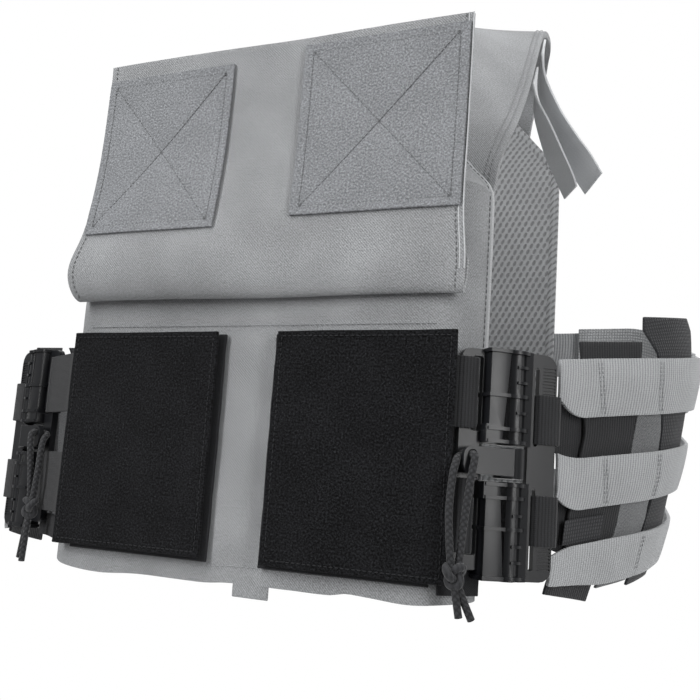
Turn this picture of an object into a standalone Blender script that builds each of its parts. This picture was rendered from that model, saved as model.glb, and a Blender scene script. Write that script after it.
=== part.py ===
"""Plate carrier vest with quick release side buckles, shown as it is worn.

Plan of the object: +X is the wearer's left, +Y goes from the chest to the back, +Z is up.
The vest is worked out in a measuring frame whose zero is the bottom edge of the black loop panels
on the front plane, midway between them, and is then hung below the shoulder rest, which is the origin.
Front and back lean back by LEAN, so most pieces are laid out in a plan (x, depth) that shears with height.
"""
import math

import bmesh
import bpy
import numpy as np
from mathutils import Vector

MM = 0.001
GAP = 0.3 * MM

# Driving dimensions of the carrier
LEAN = math.radians(9.6)
BAG_HALF_W = 137 * MM
BAG_DEPTH = 28 * MM
BAG_EDGE_ROUND = 19 * MM
BAG_CUT_H = 82 * MM
BAG_TOP_HALF_W = 66 * MM
FRONT_CUT_H = 218 * MM
FRONT_HEM_H = -12.5 * MM
BACK_CUT_H = 294 * MM
BACK_HEM_H = 58 * MM
BACK_INNER_D = 201 * MM
CLOTH = 1.6 * MM
MESH_LINING = 3.6 * MM

# Loop panels and flap
# The chest pieces sit a little towards the wearer's left of the buckles' middle
FRONT_SHIFT = 4.2 * MM
PANEL_IN_X = 20 * MM
PANEL_W = 108 * MM
PANEL_H = 132 * MM
PANEL_T = 2.3 * MM
BACKING_T = 1.8 * MM
FLAP_T = 2.6 * MM
PATCH_T = 1.6 * MM
PATCH_H = 104 * MM

# Webbing and buckle
WEB_T = 1.8 * MM
INNER_WEB_W = 38 * MM
OUTER_WEB_W = 26.5 * MM
ROW_T = 2.4 * MM
STAY_T = 2.0 * MM
BUCKLE_HALF_H = 60.6 * MM
PLATE_T = 4 * MM
TUBE_R = 7.6 * MM
RING_R = 9.2 * MM
CORD_R = 2 * MM

# The cummerbund in plan, at each side of the wearer, as (x outward, depth) in millimetres
WRAP_LEFT = [
    (176, 43.4), (188, 63.4), (204, 84.4), (221, 106.4), (234, 130.4), (240.5, 155.4), (239, 179.4),
    (229, 201.5), (209, 220), (182, 232.5), (155, 237.5), (128, 238.6), (100, 238.6), (70, 238.6),
]
WRAP_RIGHT = [
    (209, 41.4), (221, 59.4), (231, 81.4), (237, 105.4), (239, 130.4), (236, 156.4), (227, 183.4),
    (209, 209.4), (182, 229.4), (155, 237.4), (128, 238.6), (100, 238.6), (70, 238.6),
]
WRAP_MAX_X = 240.5 * MM
# How far the cummerbund draws in below its top, as (height, millimetres inward)
NARROWING = [
    (-25, 28), (-12, 23.5), (10, 17.5), (28, 14), (44, 10), (60, 7), (82, 3.5), (100, 0.5), (115, 0),
]
BACK_RISE = 18 * MM
RISE_FROM_S = 150 * MM
RISE_TO_S = 230 * MM

# Each side: sign of x, place of the buckle's tube in plan, its turn from the front plane, the wrap's plan
SIDES = {
    "left": {"sign": 1, "tube": (155 * MM, 22 * MM), "turn": math.radians(42), "wrap": WRAP_LEFT,
             "middle_h": 63.9 * MM, "stay_top": 140 * MM, "knot_v": -57.4 * MM},
    "right": {"sign": -1, "tube": (183 * MM, 28 * MM), "turn": math.radians(22), "wrap": WRAP_RIGHT,
              "middle_h": 64.9 * MM, "stay_top": 122 * MM, "knot_v": -45.4 * MM},
}

# Shoulder straps, as (x inner, y inner, z inner, x outer, y outer, z outer) in millimetres
SHOULDER = [
    (62, 68.3, 193, 132, 68.3, 193),
    (64, 73.3, 222, 136, 71.6, 211),
    (66, 79.1, 256, 138, 77.4, 229),
    (66, 86, 288, 139, 92, 244),
    (66, 98, 313, 139.5, 112, 260),
    (66, 120, 333, 140, 134, 281),
    (66, 146, 346, 139, 160, 306),
    (66, 174, 354, 137, 186, 329),
    (66, 202, 359, 134, 212, 347),
    (66, 232, 361, 131, 240, 357),
    (66, 262, 358, 128, 265, 357),
    (66, 284, 350, 122, 284, 350),
    (66, 293.5, 334, 116, 293.5, 334),
    (66, 293.3, 318, 110, 293.3, 318),
    (65, 289.6, 296, 106, 289.6, 296),
    (64, 284.2, 264, 104, 284.2, 264),
]
SHOULDER_T = 5 * MM
# The shoulder rest is on the underside of the straps' highest stretch
REST_Y = 232 * MM
REST_Z = 357 * MM

# Loose strap ends that hang from the outer edges of the shoulder straps, in millimetres:
# x, y, z of the middle, then the direction across the webbing
TAIL_A = [
    (140.2, 158, 303.5, -0.02, 0.72, 0.69), (140.9, 159, 292, -0.2, 0.72, 0.62),
    (144, 161, 275, -0.58, 0.66, 0.45), (151, 165.5, 252.3, -0.72, 0.61, 0.3),
    (156, 170.5, 238.8, -0.68, 0.7, 0.15), (160.5, 174.5, 226, -0.5, 0.84, -0.2),
]
TAIL_B = [
    (138.6, 191, 333, -0.06, 0.72, 0.64), (140, 184, 312, -0.3, 0.76, 0.5),
    (146.5, 175, 284, -0.68, 0.68, 0.15), (157, 174.5, 262, -0.75, 0.62, -0.1),
    (166, 177, 247, -0.7, 0.62, -0.3), (174.5, 181, 232, -0.58, 0.66, -0.45),
]
TAIL_W = 23 * MM
TAIL_T = 1.6 * MM

COLOURS = {
    "carrier_cloth": ((0.30, 0.31, 0.32), 0.9, 0.0),
    "carrier_webbing": ((0.33, 0.34, 0.35), 0.85, 0.0),
    "spacer_mesh": ((0.24, 0.25, 0.26), 0.9, 0.0),
    "flap_loop": ((0.27, 0.28, 0.29), 0.95, 0.0),
    "black_loop": ((0.012, 0.012, 0.014), 0.95, 0.0),
    "black_webbing": ((0.02, 0.021, 0.024), 0.8, 0.0),
    "black_cloth": ((0.018, 0.018, 0.02), 0.85, 0.0),
    "buckle_plastic": ((0.03, 0.031, 0.034), 0.38, 0.0),
    "black_cord": ((0.03, 0.03, 0.032), 0.8, 0.0),
}


def clear_scene():
    for item in list(bpy.data.objects):
        bpy.data.objects.remove(item, do_unlink=True)


def make_material(name):
    colour, roughness, metallic = COLOURS[name]
    material = bpy.data.materials.new(name)
    material.use_nodes = True
    shader = material.node_tree.nodes["Principled BSDF"]
    shader.inputs["Base Color"].default_value = (*colour, 1.0)
    shader.inputs["Roughness"].default_value = roughness
    shader.inputs["Metallic"].default_value = metallic
    material.diffuse_color = (*colour, 1.0)
    return material


def material_of(name):
    return bpy.data.materials.get(name) or make_material(name)


def add_empty(name, parent=None, location=(0, 0, 0), rotation=(0, 0, 0)):
    empty = bpy.data.objects.new(name, None)
    empty.location = location
    empty.rotation_euler = rotation
    empty.parent = parent
    bpy.context.collection.objects.link(empty)
    return empty


def add_object(name, mesh, material, parent):
    mesh.materials.append(material_of(material))
    piece = bpy.data.objects.new(name, mesh)
    piece.parent = parent
    bpy.context.collection.objects.link(piece)
    return piece


def finish_mesh(bm, name, smooth_angle=40):
    bmesh.ops.remove_doubles(bm, verts=bm.verts, dist=1e-6)
    bmesh.ops.recalc_face_normals(bm, faces=bm.faces)
    if bm.calc_volume(signed=True) < 0:
        bmesh.ops.reverse_faces(bm, faces=bm.faces)
    mesh = bpy.data.meshes.new(name)
    bm.to_mesh(mesh)
    bm.free()
    mesh.shade_smooth()
    mesh.set_sharp_from_angle(angle=math.radians(smooth_angle))
    return mesh


def shell_mesh(name, outer, inner):
    """A closed wall between two grids of points with the same rows and columns."""
    rows, cols = outer.shape[:2]
    bm = bmesh.new()
    skins = [[[bm.verts.new(p) for p in row] for row in grid] for grid in (outer, inner)]
    for skin, turned in ((skins[0], False), (skins[1], True)):
        for i in range(rows - 1):
            for j in range(cols - 1):
                corners = [skin[i][j], skin[i][j + 1], skin[i + 1][j + 1], skin[i + 1][j]]
                bm.faces.new(corners[::-1] if turned else corners)
    border = [(0, j) for j in range(cols)] + [(i, cols - 1) for i in range(1, rows)]
    border += [(rows - 1, j) for j in range(cols - 2, -1, -1)] + [(i, 0) for i in range(rows - 2, 0, -1)]
    for (i, j), (k, m) in zip(border, border[1:] + border[:1]):
        bm.faces.new([skins[0][k][m], skins[0][i][j], skins[1][i][j], skins[1][k][m]])
    return finish_mesh(bm, name)


def grid_normals(grid):
    across = np.gradient(grid, axis=1)
    along = np.gradient(grid, axis=0)
    normal = np.cross(across, along)
    return normal / np.maximum(np.linalg.norm(normal, axis=2, keepdims=True), 1e-12)


def thick_sheet(name, grid, thickness, material, parent):
    """A sheet of the given thickness whose middle surface is the grid."""
    half = grid_normals(grid) * thickness / 2
    return add_object(name, shell_mesh(name, grid + half, grid - half), material, parent)


def smooth_line(points, per_span=6):
    """Catmull-Rom curve through the points, per_span steps between each two."""
    p = np.array(points, float)
    p = np.vstack([2 * p[0] - p[1], p, 2 * p[-1] - p[-2]])
    steps = np.linspace(0, 1, per_span, endpoint=False)[:, None]
    out = []
    for a, b, c, d in zip(p, p[1:], p[2:], p[3:]):
        out.append(0.5 * (2 * b + (c - a) * steps + (2 * a - 5 * b + 4 * c - d) * steps**2
                          + (3 * b - 3 * c + d - a) * steps**3))
    out.append(p[-2][None])
    return np.vstack(out)


def resample(line, at):
    """Points of a polyline at the given distances along it."""
    step = np.linalg.norm(np.diff(line, axis=0), axis=1)
    along = np.concatenate([[0], np.cumsum(step)])
    return np.stack([np.interp(at, along, line[:, k]) for k in range(line.shape[1])], axis=-1)


def length_of(line):
    return float(np.linalg.norm(np.diff(line, axis=0), axis=1).sum())


def sheared(x, depth, z):
    """A point of the measuring frame from its plan place and its height."""
    return np.array([x, depth + z * math.tan(LEAN), z])


def bag_half_width(h, cut_h, inset):
    """Half the bag's width at a height, with its two top corners cut off."""
    share = np.clip((h - cut_h) / BAG_CUT_H, 0, 1)
    return BAG_HALF_W + (BAG_TOP_HALF_W - BAG_HALF_W) * share - inset


def bag_grid(cut_h, hem_h, inset, depth, rounding):
    """The bag's outer or inner surface, as a tray in (x, d, h) whose rim lies at d = depth."""
    rim = (1 - np.cos(np.linspace(0, math.pi / 2, 5)[1:])) * rounding
    half = BAG_HALF_W - inset
    columns = np.concatenate([[-half], rim - half, [-60 * MM, 0.0, 60 * MM], half - rim[::-1], [half]]) / half
    top = cut_h + BAG_CUT_H - inset
    levels = np.concatenate([np.linspace(hem_h, cut_h, 5), np.linspace(cut_h, top - rounding, 3)[1:],
                             top - rim[-2::-1], [top]])
    grid = np.zeros((len(levels), len(columns), 3))
    for i, h in enumerate(levels):
        half_width = bag_half_width(h, cut_h, inset)
        slope = math.cos(math.atan2(BAG_HALF_W - BAG_TOP_HALF_W, BAG_CUT_H)) if h > cut_h else 1.0
        for j, share in enumerate(columns):
            x = share * half_width
            side = max(0.0, 1 - (half_width - abs(x)) * slope / rounding)
            over = max(0.0, 1 - (top - h) / rounding)
            near = min(1.0, math.hypot(side, over))
            grid[i, j] = (x, depth * (1 - math.sqrt(1 - near**2)), h)
    return grid


# The front bag's wavy hem, as (x, height) in millimetres
FRONT_HEM = [
    (-137, -6), (-132, -9.2), (-116, -13.8), (-90, -15.4), (-60, -13.6), (-18, -13.8), (2, -12.3),
    (64, -12.2), (75, -10.4), (91, -11.3), (110, -12.2), (128, -10.6), (137, -10),
]


def hem_height(x):
    """The wavy bottom edge of the front bag, relative to its mean height."""
    along, heights = np.array(FRONT_HEM).T * MM
    return np.interp(x, along, heights) - FRONT_HEM_H


def add_bag(name, cut_h, hem_h, face_d, facing, parent, wavy):
    """A bag's cloth shell, open at its bottom, and its mesh lining on the wearer's side."""
    outer = bag_grid(cut_h, hem_h, 0.0, BAG_DEPTH, BAG_EDGE_ROUND)
    inner = bag_grid(cut_h, hem_h, CLOTH, BAG_DEPTH - CLOTH, BAG_EDGE_ROUND - CLOTH)
    inner[:, :, 1] += CLOTH
    for grid in (outer, inner):
        if wavy:
            low = np.array([hem_height(x) for x in grid[0, :, 0]])
            fade = np.clip(1 - (grid[:, :, 2] - hem_h) / (60 * MM), 0, 1)
            grid[:, :, 2] += low[None, :] * fade
        grid[:, :, 1] = face_d + facing * grid[:, :, 1]
    add_object(f"{name}_face", shell_mesh(f"{name}_face", outer, inner), "carrier_cloth", parent)
    lining = outer[[0, 4, -1]][:, [0, 5, 6, 7, -1]]
    lining[:, :, 1] = face_d + facing * (BAG_DEPTH + GAP + MESH_LINING / 2)
    thick_sheet(f"{name}_lining", lining, MESH_LINING, "spacer_mesh", parent)


def plan_sheet(x_from, x_to, h_low, h_high, d_of, cols, rows):
    """A grid over x and h whose depth is d_of(x, h)."""
    grid = np.zeros((rows, cols, 3))
    for i, v in enumerate(np.linspace(0, 1, rows)):
        for j, u in enumerate(np.linspace(0, 1, cols)):
            x = x_from + (x_to - x_from) * u
            h = h_low + (h_high - h_low) * v
            grid[i, j] = (x, d_of(x, h), h)
    return grid


def add_loop_panels(front):
    """On each side a black backing, a space for the buckle webbing, and the loop panel over it."""
    backing_d = -GAP - BACKING_T / 2
    panel_d = -2 * GAP - BACKING_T - WEB_T - 2 * GAP - PANEL_T / 2
    for side, facts in SIDES.items():
        sign = facts["sign"]
        inside, outside = sign * PANEL_IN_X, sign * (PANEL_IN_X + PANEL_W)
        panel = plan_sheet(inside, outside, 0.0, PANEL_H, lambda x, h: panel_d, 2, 2)
        thick_sheet(f"loop_panel_{side}", panel, PANEL_T, "black_loop", front)
        backing = plan_sheet(inside - sign * 3 * MM, outside - sign * 10.5 * MM, -2 * MM, PANEL_H - 1 * MM,
                             lambda x, h: backing_d, 2, 2)
        thick_sheet(f"loop_backing_{side}", backing, BACKING_T, "black_cloth", front)


# The flap's fold in section, as (depth, height) in millimetres, from behind the roll up to its free edge
FLAP_SECTION = [
    (-1.9, 172), (-2.0, 162), (-3.4, 156), (-7.5, 153.5), (-13.0, 156), (-17.0, 163), (-18.4, 173),
    (-17.2, 186), (-14.0, 203), (-10.0, 224), (-7.0, 248), (-5.6, 275), (-5.2, 300), (-5.6, 313),
]
FLAP_LEFT_X = -123 * MM
FLAP_RIGHT_X = 127 * MM
# How full the fold is across the flap, as (x in millimetres, share of the section's depth)
FLAP_FULLNESS = [(-125, 0.9), (-26, 0.85), (22, 0.48), (127, 0.34)]
# Each loop patch: inner and outer x and bottom height, in millimetres
PATCHES = {"left": (23, 126, 199.5), "right": (-122, -26, 194)}


def flap_surface(offset):
    """The flap's middle surface moved outward by offset, as a grid in (x, d, h)."""
    section = np.array(FLAP_SECTION) * MM
    columns = np.linspace(0, 1, 9)
    grid = np.zeros((len(section), len(columns), 3))
    for i, (d, h) in enumerate(section):
        roll = math.exp(-(((h / MM) - 168) / 22) ** 2)
        left = FLAP_LEFT_X - 8 * MM * roll
        right = FLAP_RIGHT_X + 3 * MM * roll
        for j, u in enumerate(columns):
            x = left + (right - left) * u
            sag = 1.0 * MM * math.sin(u * math.pi * 3) * min(1.0, max(0.0, -d / MM / 18))
            full = np.interp(x / MM, *np.array(FLAP_FULLNESS).T)
            grid[i, j] = (x, section[0, 0] + (d - section[0, 0]) * full, h + sag)
    return grid + grid_normals(grid) * offset


def surface_patch(grid, x_low, x_high, h_low, h_high, cols, rows):
    """A regular grid cut out of the front of a flap surface, by x and height."""
    front = grid[np.argmin(grid[:, 0, 1]):]
    patch = np.zeros((rows, cols, 3))
    for j, x in enumerate(np.linspace(x_low, x_high, cols)):
        line = np.array([[np.interp(x, row[:, 0], row[:, k]) for k in (1, 2)] for row in front])
        for i, h in enumerate(np.linspace(h_low, h_high, rows)):
            patch[i, j] = (x, np.interp(h, line[:, 1], line[:, 0]), h)
    return patch


def add_flap(front):
    thick_sheet("front_flap", flap_surface(0.0), FLAP_T, "carrier_cloth", front)
    over = flap_surface(FLAP_T / 2 + GAP + PATCH_T / 2)
    for side, sizes in PATCHES.items():
        low, high, bottom = np.array(sizes) * MM
        patch = surface_patch(over, low, high, bottom, bottom + PATCH_H, 4, 8)
        patch[:, :, 1] -= 0.25 * MM
        thick_sheet(f"flap_patch_{side}", patch, PATCH_T, "flap_loop", front)


def add_front_tab(front):
    grid = plan_sheet(0.0, 23 * MM, -19.5 * MM, -4 * MM, lambda x, h: -1.2 * MM, 2, 2)
    thick_sheet("front_bottom_tab", grid, 1.6 * MM, "carrier_webbing", front)


def add_back_flap(back_parent):
    """The flap on the back bag that covers the ends of the cummerbund's rows."""
    table = [(237.95, 168), (237.95, 150), (239.6, 143), (241.3, 136), (241.3, 20)]
    grid = np.zeros((len(table), 2, 3))
    for i, (depth, z) in enumerate(np.array(table) * MM):
        for j, x in enumerate(np.linspace(-118 * MM, 118 * MM, 2)):
            grid[i, j] = sheared(x, depth, z)
    thick_sheet("back_flap", grid, 2.0 * MM, "carrier_cloth", back_parent)


class Wrap:
    """The cummerbund's surface at one side, by distance from its buckle end and height."""

    def __init__(self, facts):
        self.sign = facts["sign"]
        line = smooth_line(np.array(facts["wrap"]) * MM, 8)
        self.length = length_of(line)
        self.at = np.linspace(0, self.length, 240)
        self.line = resample(line, self.at)
        tangent = np.gradient(self.line, axis=0)
        tangent /= np.linalg.norm(tangent, axis=1, keepdims=True)
        self.outward = np.stack([tangent[:, 1], -tangent[:, 0]], axis=1)

    def point(self, s, z, offset=0.0):
        x, depth = (np.interp(s, self.at, self.line[:, k]) for k in (0, 1))
        out_x, out_y = (np.interp(s, self.at, self.outward[:, k]) for k in (0, 1))
        if s < 0:
            start, ahead = self.line[0], self.line[1] - self.line[0]
            x, depth = start + ahead / np.linalg.norm(ahead) * s
        first = self.line[0, 0]
        heights, drawn_in = np.array(NARROWING, float).T * MM
        share = np.clip((x - first) / (WRAP_MAX_X - first), 0, 1)
        x = x - share * np.interp(z, heights, drawn_in)
        rise = np.clip((s - RISE_FROM_S) / (RISE_TO_S - RISE_FROM_S), 0, 1)
        z = z + BACK_RISE * rise * rise * (3 - 2 * rise)
        return sheared(self.sign * (x + out_x * offset), depth + out_y * offset, z)

    def strip(self, table, offset, columns):
        """A grid from rows of (height, distance from, distance to)."""
        grid = np.zeros((len(table), columns, 3))
        for i, (z, s_from, s_to) in enumerate(table):
            for j, s in enumerate(np.linspace(s_from, s_to, columns)):
                grid[i, j] = self.point(s, z, offset)
        return grid

    def row(self, low, high, cut_low, cut_high):
        """A cummerbund row, whose corners at the buckle are cut off by so much height."""
        along = np.concatenate([[0, ROW_CUT / 3, ROW_CUT * 2 / 3], np.linspace(ROW_CUT, self.length, 19)])
        grid = np.zeros((3, len(along), 3))
        for j, s in enumerate(along):
            near = max(0.0, 1 - s / ROW_CUT) ** 2
            for i, z in enumerate(np.linspace(low + cut_low * near, high - cut_high * near, 3)):
                grid[i, j] = self.point(s, z)
        return grid


# Cummerbund rows in millimetres: bottom, top, and the corner cut off at the bottom and at the top
ROWS = {"upper": (82, 115, 12, 0), "middle": (30, 60, 10, 0), "lower": (-12, 11, 9, 4)}
ROW_CUT = 24 * MM
# Upright strips of the cummerbund, as (height, distance from, distance to) in millimetres
STAY_FRONT = [(-21, -4, 41), (-8, 0, 46), (12, 15.5, 58.5), (28, 16, 62), (72, 26, 65.5), (125, 19, 67)]
STAY_MIDDLE = [(-15, 50, 84), (0, 56, 85), (20, 61.5, 93), (72, 66.5, 92), (100, 68.5, 84), (114, 69, 79)]
STAY_REAR = [(-19, 88, 124), (14, 93, 126), (28, 96.5, 126), (72, 93.5, 126), (100, 86, 125),
             (118, 81, 123.5), (132, 68, 121), (140, 68, 114)]
REAR_BAND = [(80, 129, 268), (118, 129, 268)]
STAY_OFFSET = -(ROW_T / 2 + 0.9 * MM + STAY_T / 2)
STRAP_OFFSET = STAY_OFFSET - STAY_T / 2 - 1.0 * MM - WEB_T / 2


def add_cummerbund(side, wrap, stay_top, parent):
    for name, sizes in ROWS.items():
        thick_sheet(f"row_{name}_{side}", wrap.row(*(np.array(sizes) * MM)), ROW_T, "carrier_webbing", parent)
    for name, table, material in (("front", STAY_FRONT, "black_webbing"),
                                  ("middle", STAY_MIDDLE, "carrier_cloth"),
                                  ("rear", STAY_REAR, "black_webbing")):
        known = np.array(table) * MM
        levels = [z for z in known[:, 0] if z < stay_top] + [min(known[-1, 0], stay_top)]
        levels = [(z, np.interp(z, known[:, 0], known[:, 1]), np.interp(z, known[:, 0], known[:, 2]))
                  for z in levels]
        thick_sheet(f"stay_{name}_{side}", wrap.strip(levels, STAY_OFFSET, 4), STAY_T, material, parent)
    band = wrap.strip(np.array(REAR_BAND) * MM, STAY_OFFSET - 0.3 * MM, 12)
    thick_sheet(f"rear_band_{side}", band, STAY_T, "carrier_webbing", parent)


def plan_place(facts, u, w):
    """Place (x, d) of a point of the buckle: u across it away from the chest, w out of its face."""
    c, s = math.cos(facts["turn"]), math.sin(facts["turn"])
    x, d = facts["tube"]
    return facts["sign"] * (x + u * c + w * s), d + u * s - w * c


def from_leaning(x, d, h):
    """A point of the leaning frame, whose d is square to the chest, in the measuring frame."""
    c, s = math.cos(LEAN), math.sin(LEAN)
    return np.array([x, d * c + h * s, h * c - d * s])


def ribbon(name, edges, per_span, thickness, material, parent):
    """A ribbon between two edges, each a list of points."""
    grid = np.array([smooth_line(edge, per_span) for edge in edges])
    thick_sheet(name, grid, thickness, material, parent)


# Height of each webbing's middle on the buckle, above the buckle's own middle
INNER_V = {"upper": 35.9 * MM, "lower": -28 * MM}
OUTER_V = {"upper": 25 * MM, "lower": -28.8 * MM}
# Buckle plan across, in millimetres from the tube's axis
BAR_IN = (-31.0, -24.6)
SLOT_IN = (-24.6, -18.6)
SLOT_OUT = (11.6, 16.4)
BAR_OUT = (16.4, 26.0)
WRAP_OFF = 3.5


def edge_line(facts, plan, v):
    """Points at one height of the buckle from a plan of (u, w) in millimetres."""
    points = []
    for u, w in plan:
        x, d = plan_place(facts, u * MM, w * MM)
        points.append(from_leaning(x, d, facts["middle_h"] + v))
    return points


def add_inner_straps(side, facts, parent):
    """Webbing from under the loop panel round the inner bar and back on itself."""
    sign = facts["sign"]
    far, near = BAR_IN
    under = -2 * GAP - BACKING_T - WEB_T / 2
    plan = [(far, WRAP_OFF), (near - 0.8, WRAP_OFF), (near + 2.3, 2.4), (near + 2.8, 0), (near + 2.3, -2.4),
            (near - 0.8, -WRAP_OFF), (far + 1, -WRAP_OFF)]
    for name, v in INNER_V.items():
        edges = []
        for side_v in (v - INNER_WEB_W / 2, v + INNER_WEB_W / 2):
            h = facts["middle_h"] + side_v
            start = [from_leaning(sign * x * MM, under, h) for x in (98, 112, 124)]
            rest = edge_line(facts, plan, side_v)
            start.append(start[-1] + (rest[0] - start[-1]) * 0.3)
            edges.append(start + rest)
        ribbon(f"inner_strap_{name}_{side}", edges, 2, WEB_T, "black_webbing", parent)


def add_outer_straps(side, facts, wrap, parent):
    """Webbing round the outer bar that runs back inside the cummerbund."""
    near, far = BAR_OUT
    plan = [(far - 1, -WRAP_OFF), (near + 0.4, -WRAP_OFF), (near - 2.4, -2.4), (near - 2.8, 0),
            (near - 2.4, 2.4), (near + 0.4, WRAP_OFF), (far - 0.3, WRAP_OFF), (far + 2.2, 0.9)]
    for name, end_s, tilt in (("upper", 56 * MM, 8 * MM), ("lower", 46 * MM, 5 * MM)):
        edges = []
        for half in (-OUTER_WEB_W / 2, OUTER_WEB_W / 2):
            edge = edge_line(facts, plan, OUTER_V[name] + half)
            start_z = edge[-1][2]
            for s, offset in ((-0.9, -3.7), (2.2, -6.4), (16, 0), (30, 0), (end_s / MM, 0)):
                drop = tilt * min(1.0, s * MM / (40 * MM))
                edge.append(wrap.point(s * MM, start_z - drop, offset * MM or STRAP_OFFSET))
            edges.append(edge)
        ribbon(f"outer_strap_{name}_{side}", edges, 2, WEB_T, "black_webbing", parent)


def add_foot(side, facts, parent):
    """The black ply that carries on from the backing's lower corner, below the lower webbing."""
    sign = facts["sign"]
    edges = []
    for v in (-78.4 * MM, -49.5 * MM):
        h = facts["middle_h"] + v
        start = [from_leaning(sign * x * MM, d * MM, h) for x, d in ((123.6, -1.3), (127.5, -0.9))]
        edges.append(start + edge_line(facts, [(-33, -3.4), (-26, -3.6), (-19.6, -4.4)], v))
    ribbon(f"adapter_foot_{side}", edges, 3, WEB_T, "black_cloth", parent)


def outline_prism(name, sign, outline, low_v, high_v):
    """An upright prism from an outline of (u, w) points."""
    bm = bmesh.new()
    rings = [[bm.verts.new((sign * u, -w, v)) for u, w in outline] for v in (low_v, high_v)]
    count = len(outline)
    for i in range(count):
        j = (i + 1) % count
        bm.faces.new([rings[0][i], rings[0][j], rings[1][j], rings[1][i]])
    bm.faces.new(rings[0][::-1])
    bm.faces.new(rings[1])
    return finish_mesh(bm, name, 30)


def circle_outline(radius, sides=14, centre=0.0):
    angles = [2 * math.pi * i / sides for i in range(sides)]
    return [(centre + radius * math.cos(a), radius * math.sin(a)) for a in angles]


def box_outline(u_low, u_high, w_low, w_high):
    return [(u_low, w_low), (u_high, w_low), (u_high, w_high), (u_low, w_high)]


def plate_prism(name, sign, outline, w_low, w_high):
    """A prism through the plate's thickness from an outline of (u, v) points."""
    bm = bmesh.new()
    rings = [[bm.verts.new((sign * u, -w, v)) for u, v in outline] for w in (w_low, w_high)]
    count = len(outline)
    for i in range(count):
        j = (i + 1) % count
        bm.faces.new([rings[0][i], rings[0][j], rings[1][j], rings[1][i]])
    bm.faces.new(rings[0][::-1])
    bm.faces.new(rings[1])
    return finish_mesh(bm, name, 30)


def rounded_rect(u_low, u_high, v_low, v_high, radii, steps=4):
    """Corner radii in the order low-low, high-low, high-high, low-high."""
    corners = [(u_low, v_low, math.pi), (u_high, v_low, -math.pi / 2), (u_high, v_high, 0),
               (u_low, v_high, math.pi / 2)]
    inward = [(1, 1), (-1, 1), (-1, -1), (1, -1)]
    points = []
    for (u, v, start), (su, sv), r in zip(corners, inward, radii):
        if r == 0:
            points.append((u, v))
            continue
        for k in range(steps + 1):
            a = start + math.pi / 2 * k / steps
            points.append((u + su * r + r * math.cos(a), v + sv * r + r * math.sin(a)))
    return points


def hidden_helper(mesh, parent):
    """An object that only serves a Boolean and is left out of the build."""
    helper = bpy.data.objects.new(mesh.name, mesh)
    helper.parent = parent
    helper.hide_render = True
    helper.display_type = "WIRE"
    bpy.context.collection.objects.link(helper)
    return helper


def combine(target, helpers, operation):
    for helper in helpers:
        modifier = target.modifiers.new(f"{operation.lower()}_{helper.name}", "BOOLEAN")
        modifier.operation = operation
        modifier.solver = "EXACT"
        modifier.object = helper


# Rings round the buckle's tube: height above its middle in millimetres
RINGS = [59.2, 35.6, 17.9, 11.2, -11.1, -17.9, -33.9, -58.8]
RING_T = 1.9 * MM
TUBE_SPANS = ((9.8 * MM, BUCKLE_HALF_H), (-BUCKLE_HALF_H, -9.6 * MM))
TAB_SPAN = (-7.8 * MM, 8.2 * MM)
HOUSING_IN = -17.2 * MM
HOUSING_OUT = -8.2 * MM


def add_inner_half(side, facts, parent):
    """The half sewn to the chest: a slotted frame and the housing that hugs the tube."""
    sign = facts["sign"]
    name = f"buckle_inner_half_{side}"
    frame_outline = rounded_rect(BAR_IN[0] * MM, HOUSING_OUT, -55.5 * MM, 59.8 * MM, (4 * MM, 0, 0, 5 * MM))
    body = add_object(name, plate_prism(name, sign, frame_outline, -PLATE_T / 2, PLATE_T / 2),
                      "buckle_plastic", parent)
    unions = []
    for k, (low, high) in enumerate(TUBE_SPANS):
        outline = [(HOUSING_IN, -3.5 * MM), (-13.2 * MM, -7.2 * MM), (HOUSING_OUT - 1.6 * MM, -7.2 * MM),
                   (HOUSING_OUT, -4.6 * MM), (HOUSING_OUT, 4.6 * MM), (HOUSING_OUT - 1.6 * MM, 7.6 * MM),
                   (-13.2 * MM, 7.6 * MM), (HOUSING_IN, 3.5 * MM)]
        mesh = outline_prism(f"housing_{k}_{side}", sign, outline, low + 0.35 * MM, high - 0.35 * MM)
        unions.append(hidden_helper(mesh, parent))
    cuts = []
    slots = [(INNER_V["upper"], 20 * MM), (INNER_V["lower"], 20 * MM)]
    for k, (v, half) in enumerate(slots):
        outline = rounded_rect(SLOT_IN[0] * MM, SLOT_IN[1] * MM, v - half, v + half, (1 * MM,) * 4, 2)
        cuts.append(hidden_helper(plate_prism(f"slot_in_{k}_{side}", sign, outline, -9 * MM, 9 * MM), parent))
    opening = box_outline(-19 * MM, 2 * MM, -9 * MM, 9 * MM)
    low, high = TUBE_SPANS[1][1], TUBE_SPANS[0][0]
    cuts.append(hidden_helper(outline_prism(f"tab_bay_{side}", sign, opening, low, high), parent))
    combine(body, unions, "UNION")
    combine(body, cuts, "DIFFERENCE")


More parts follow.
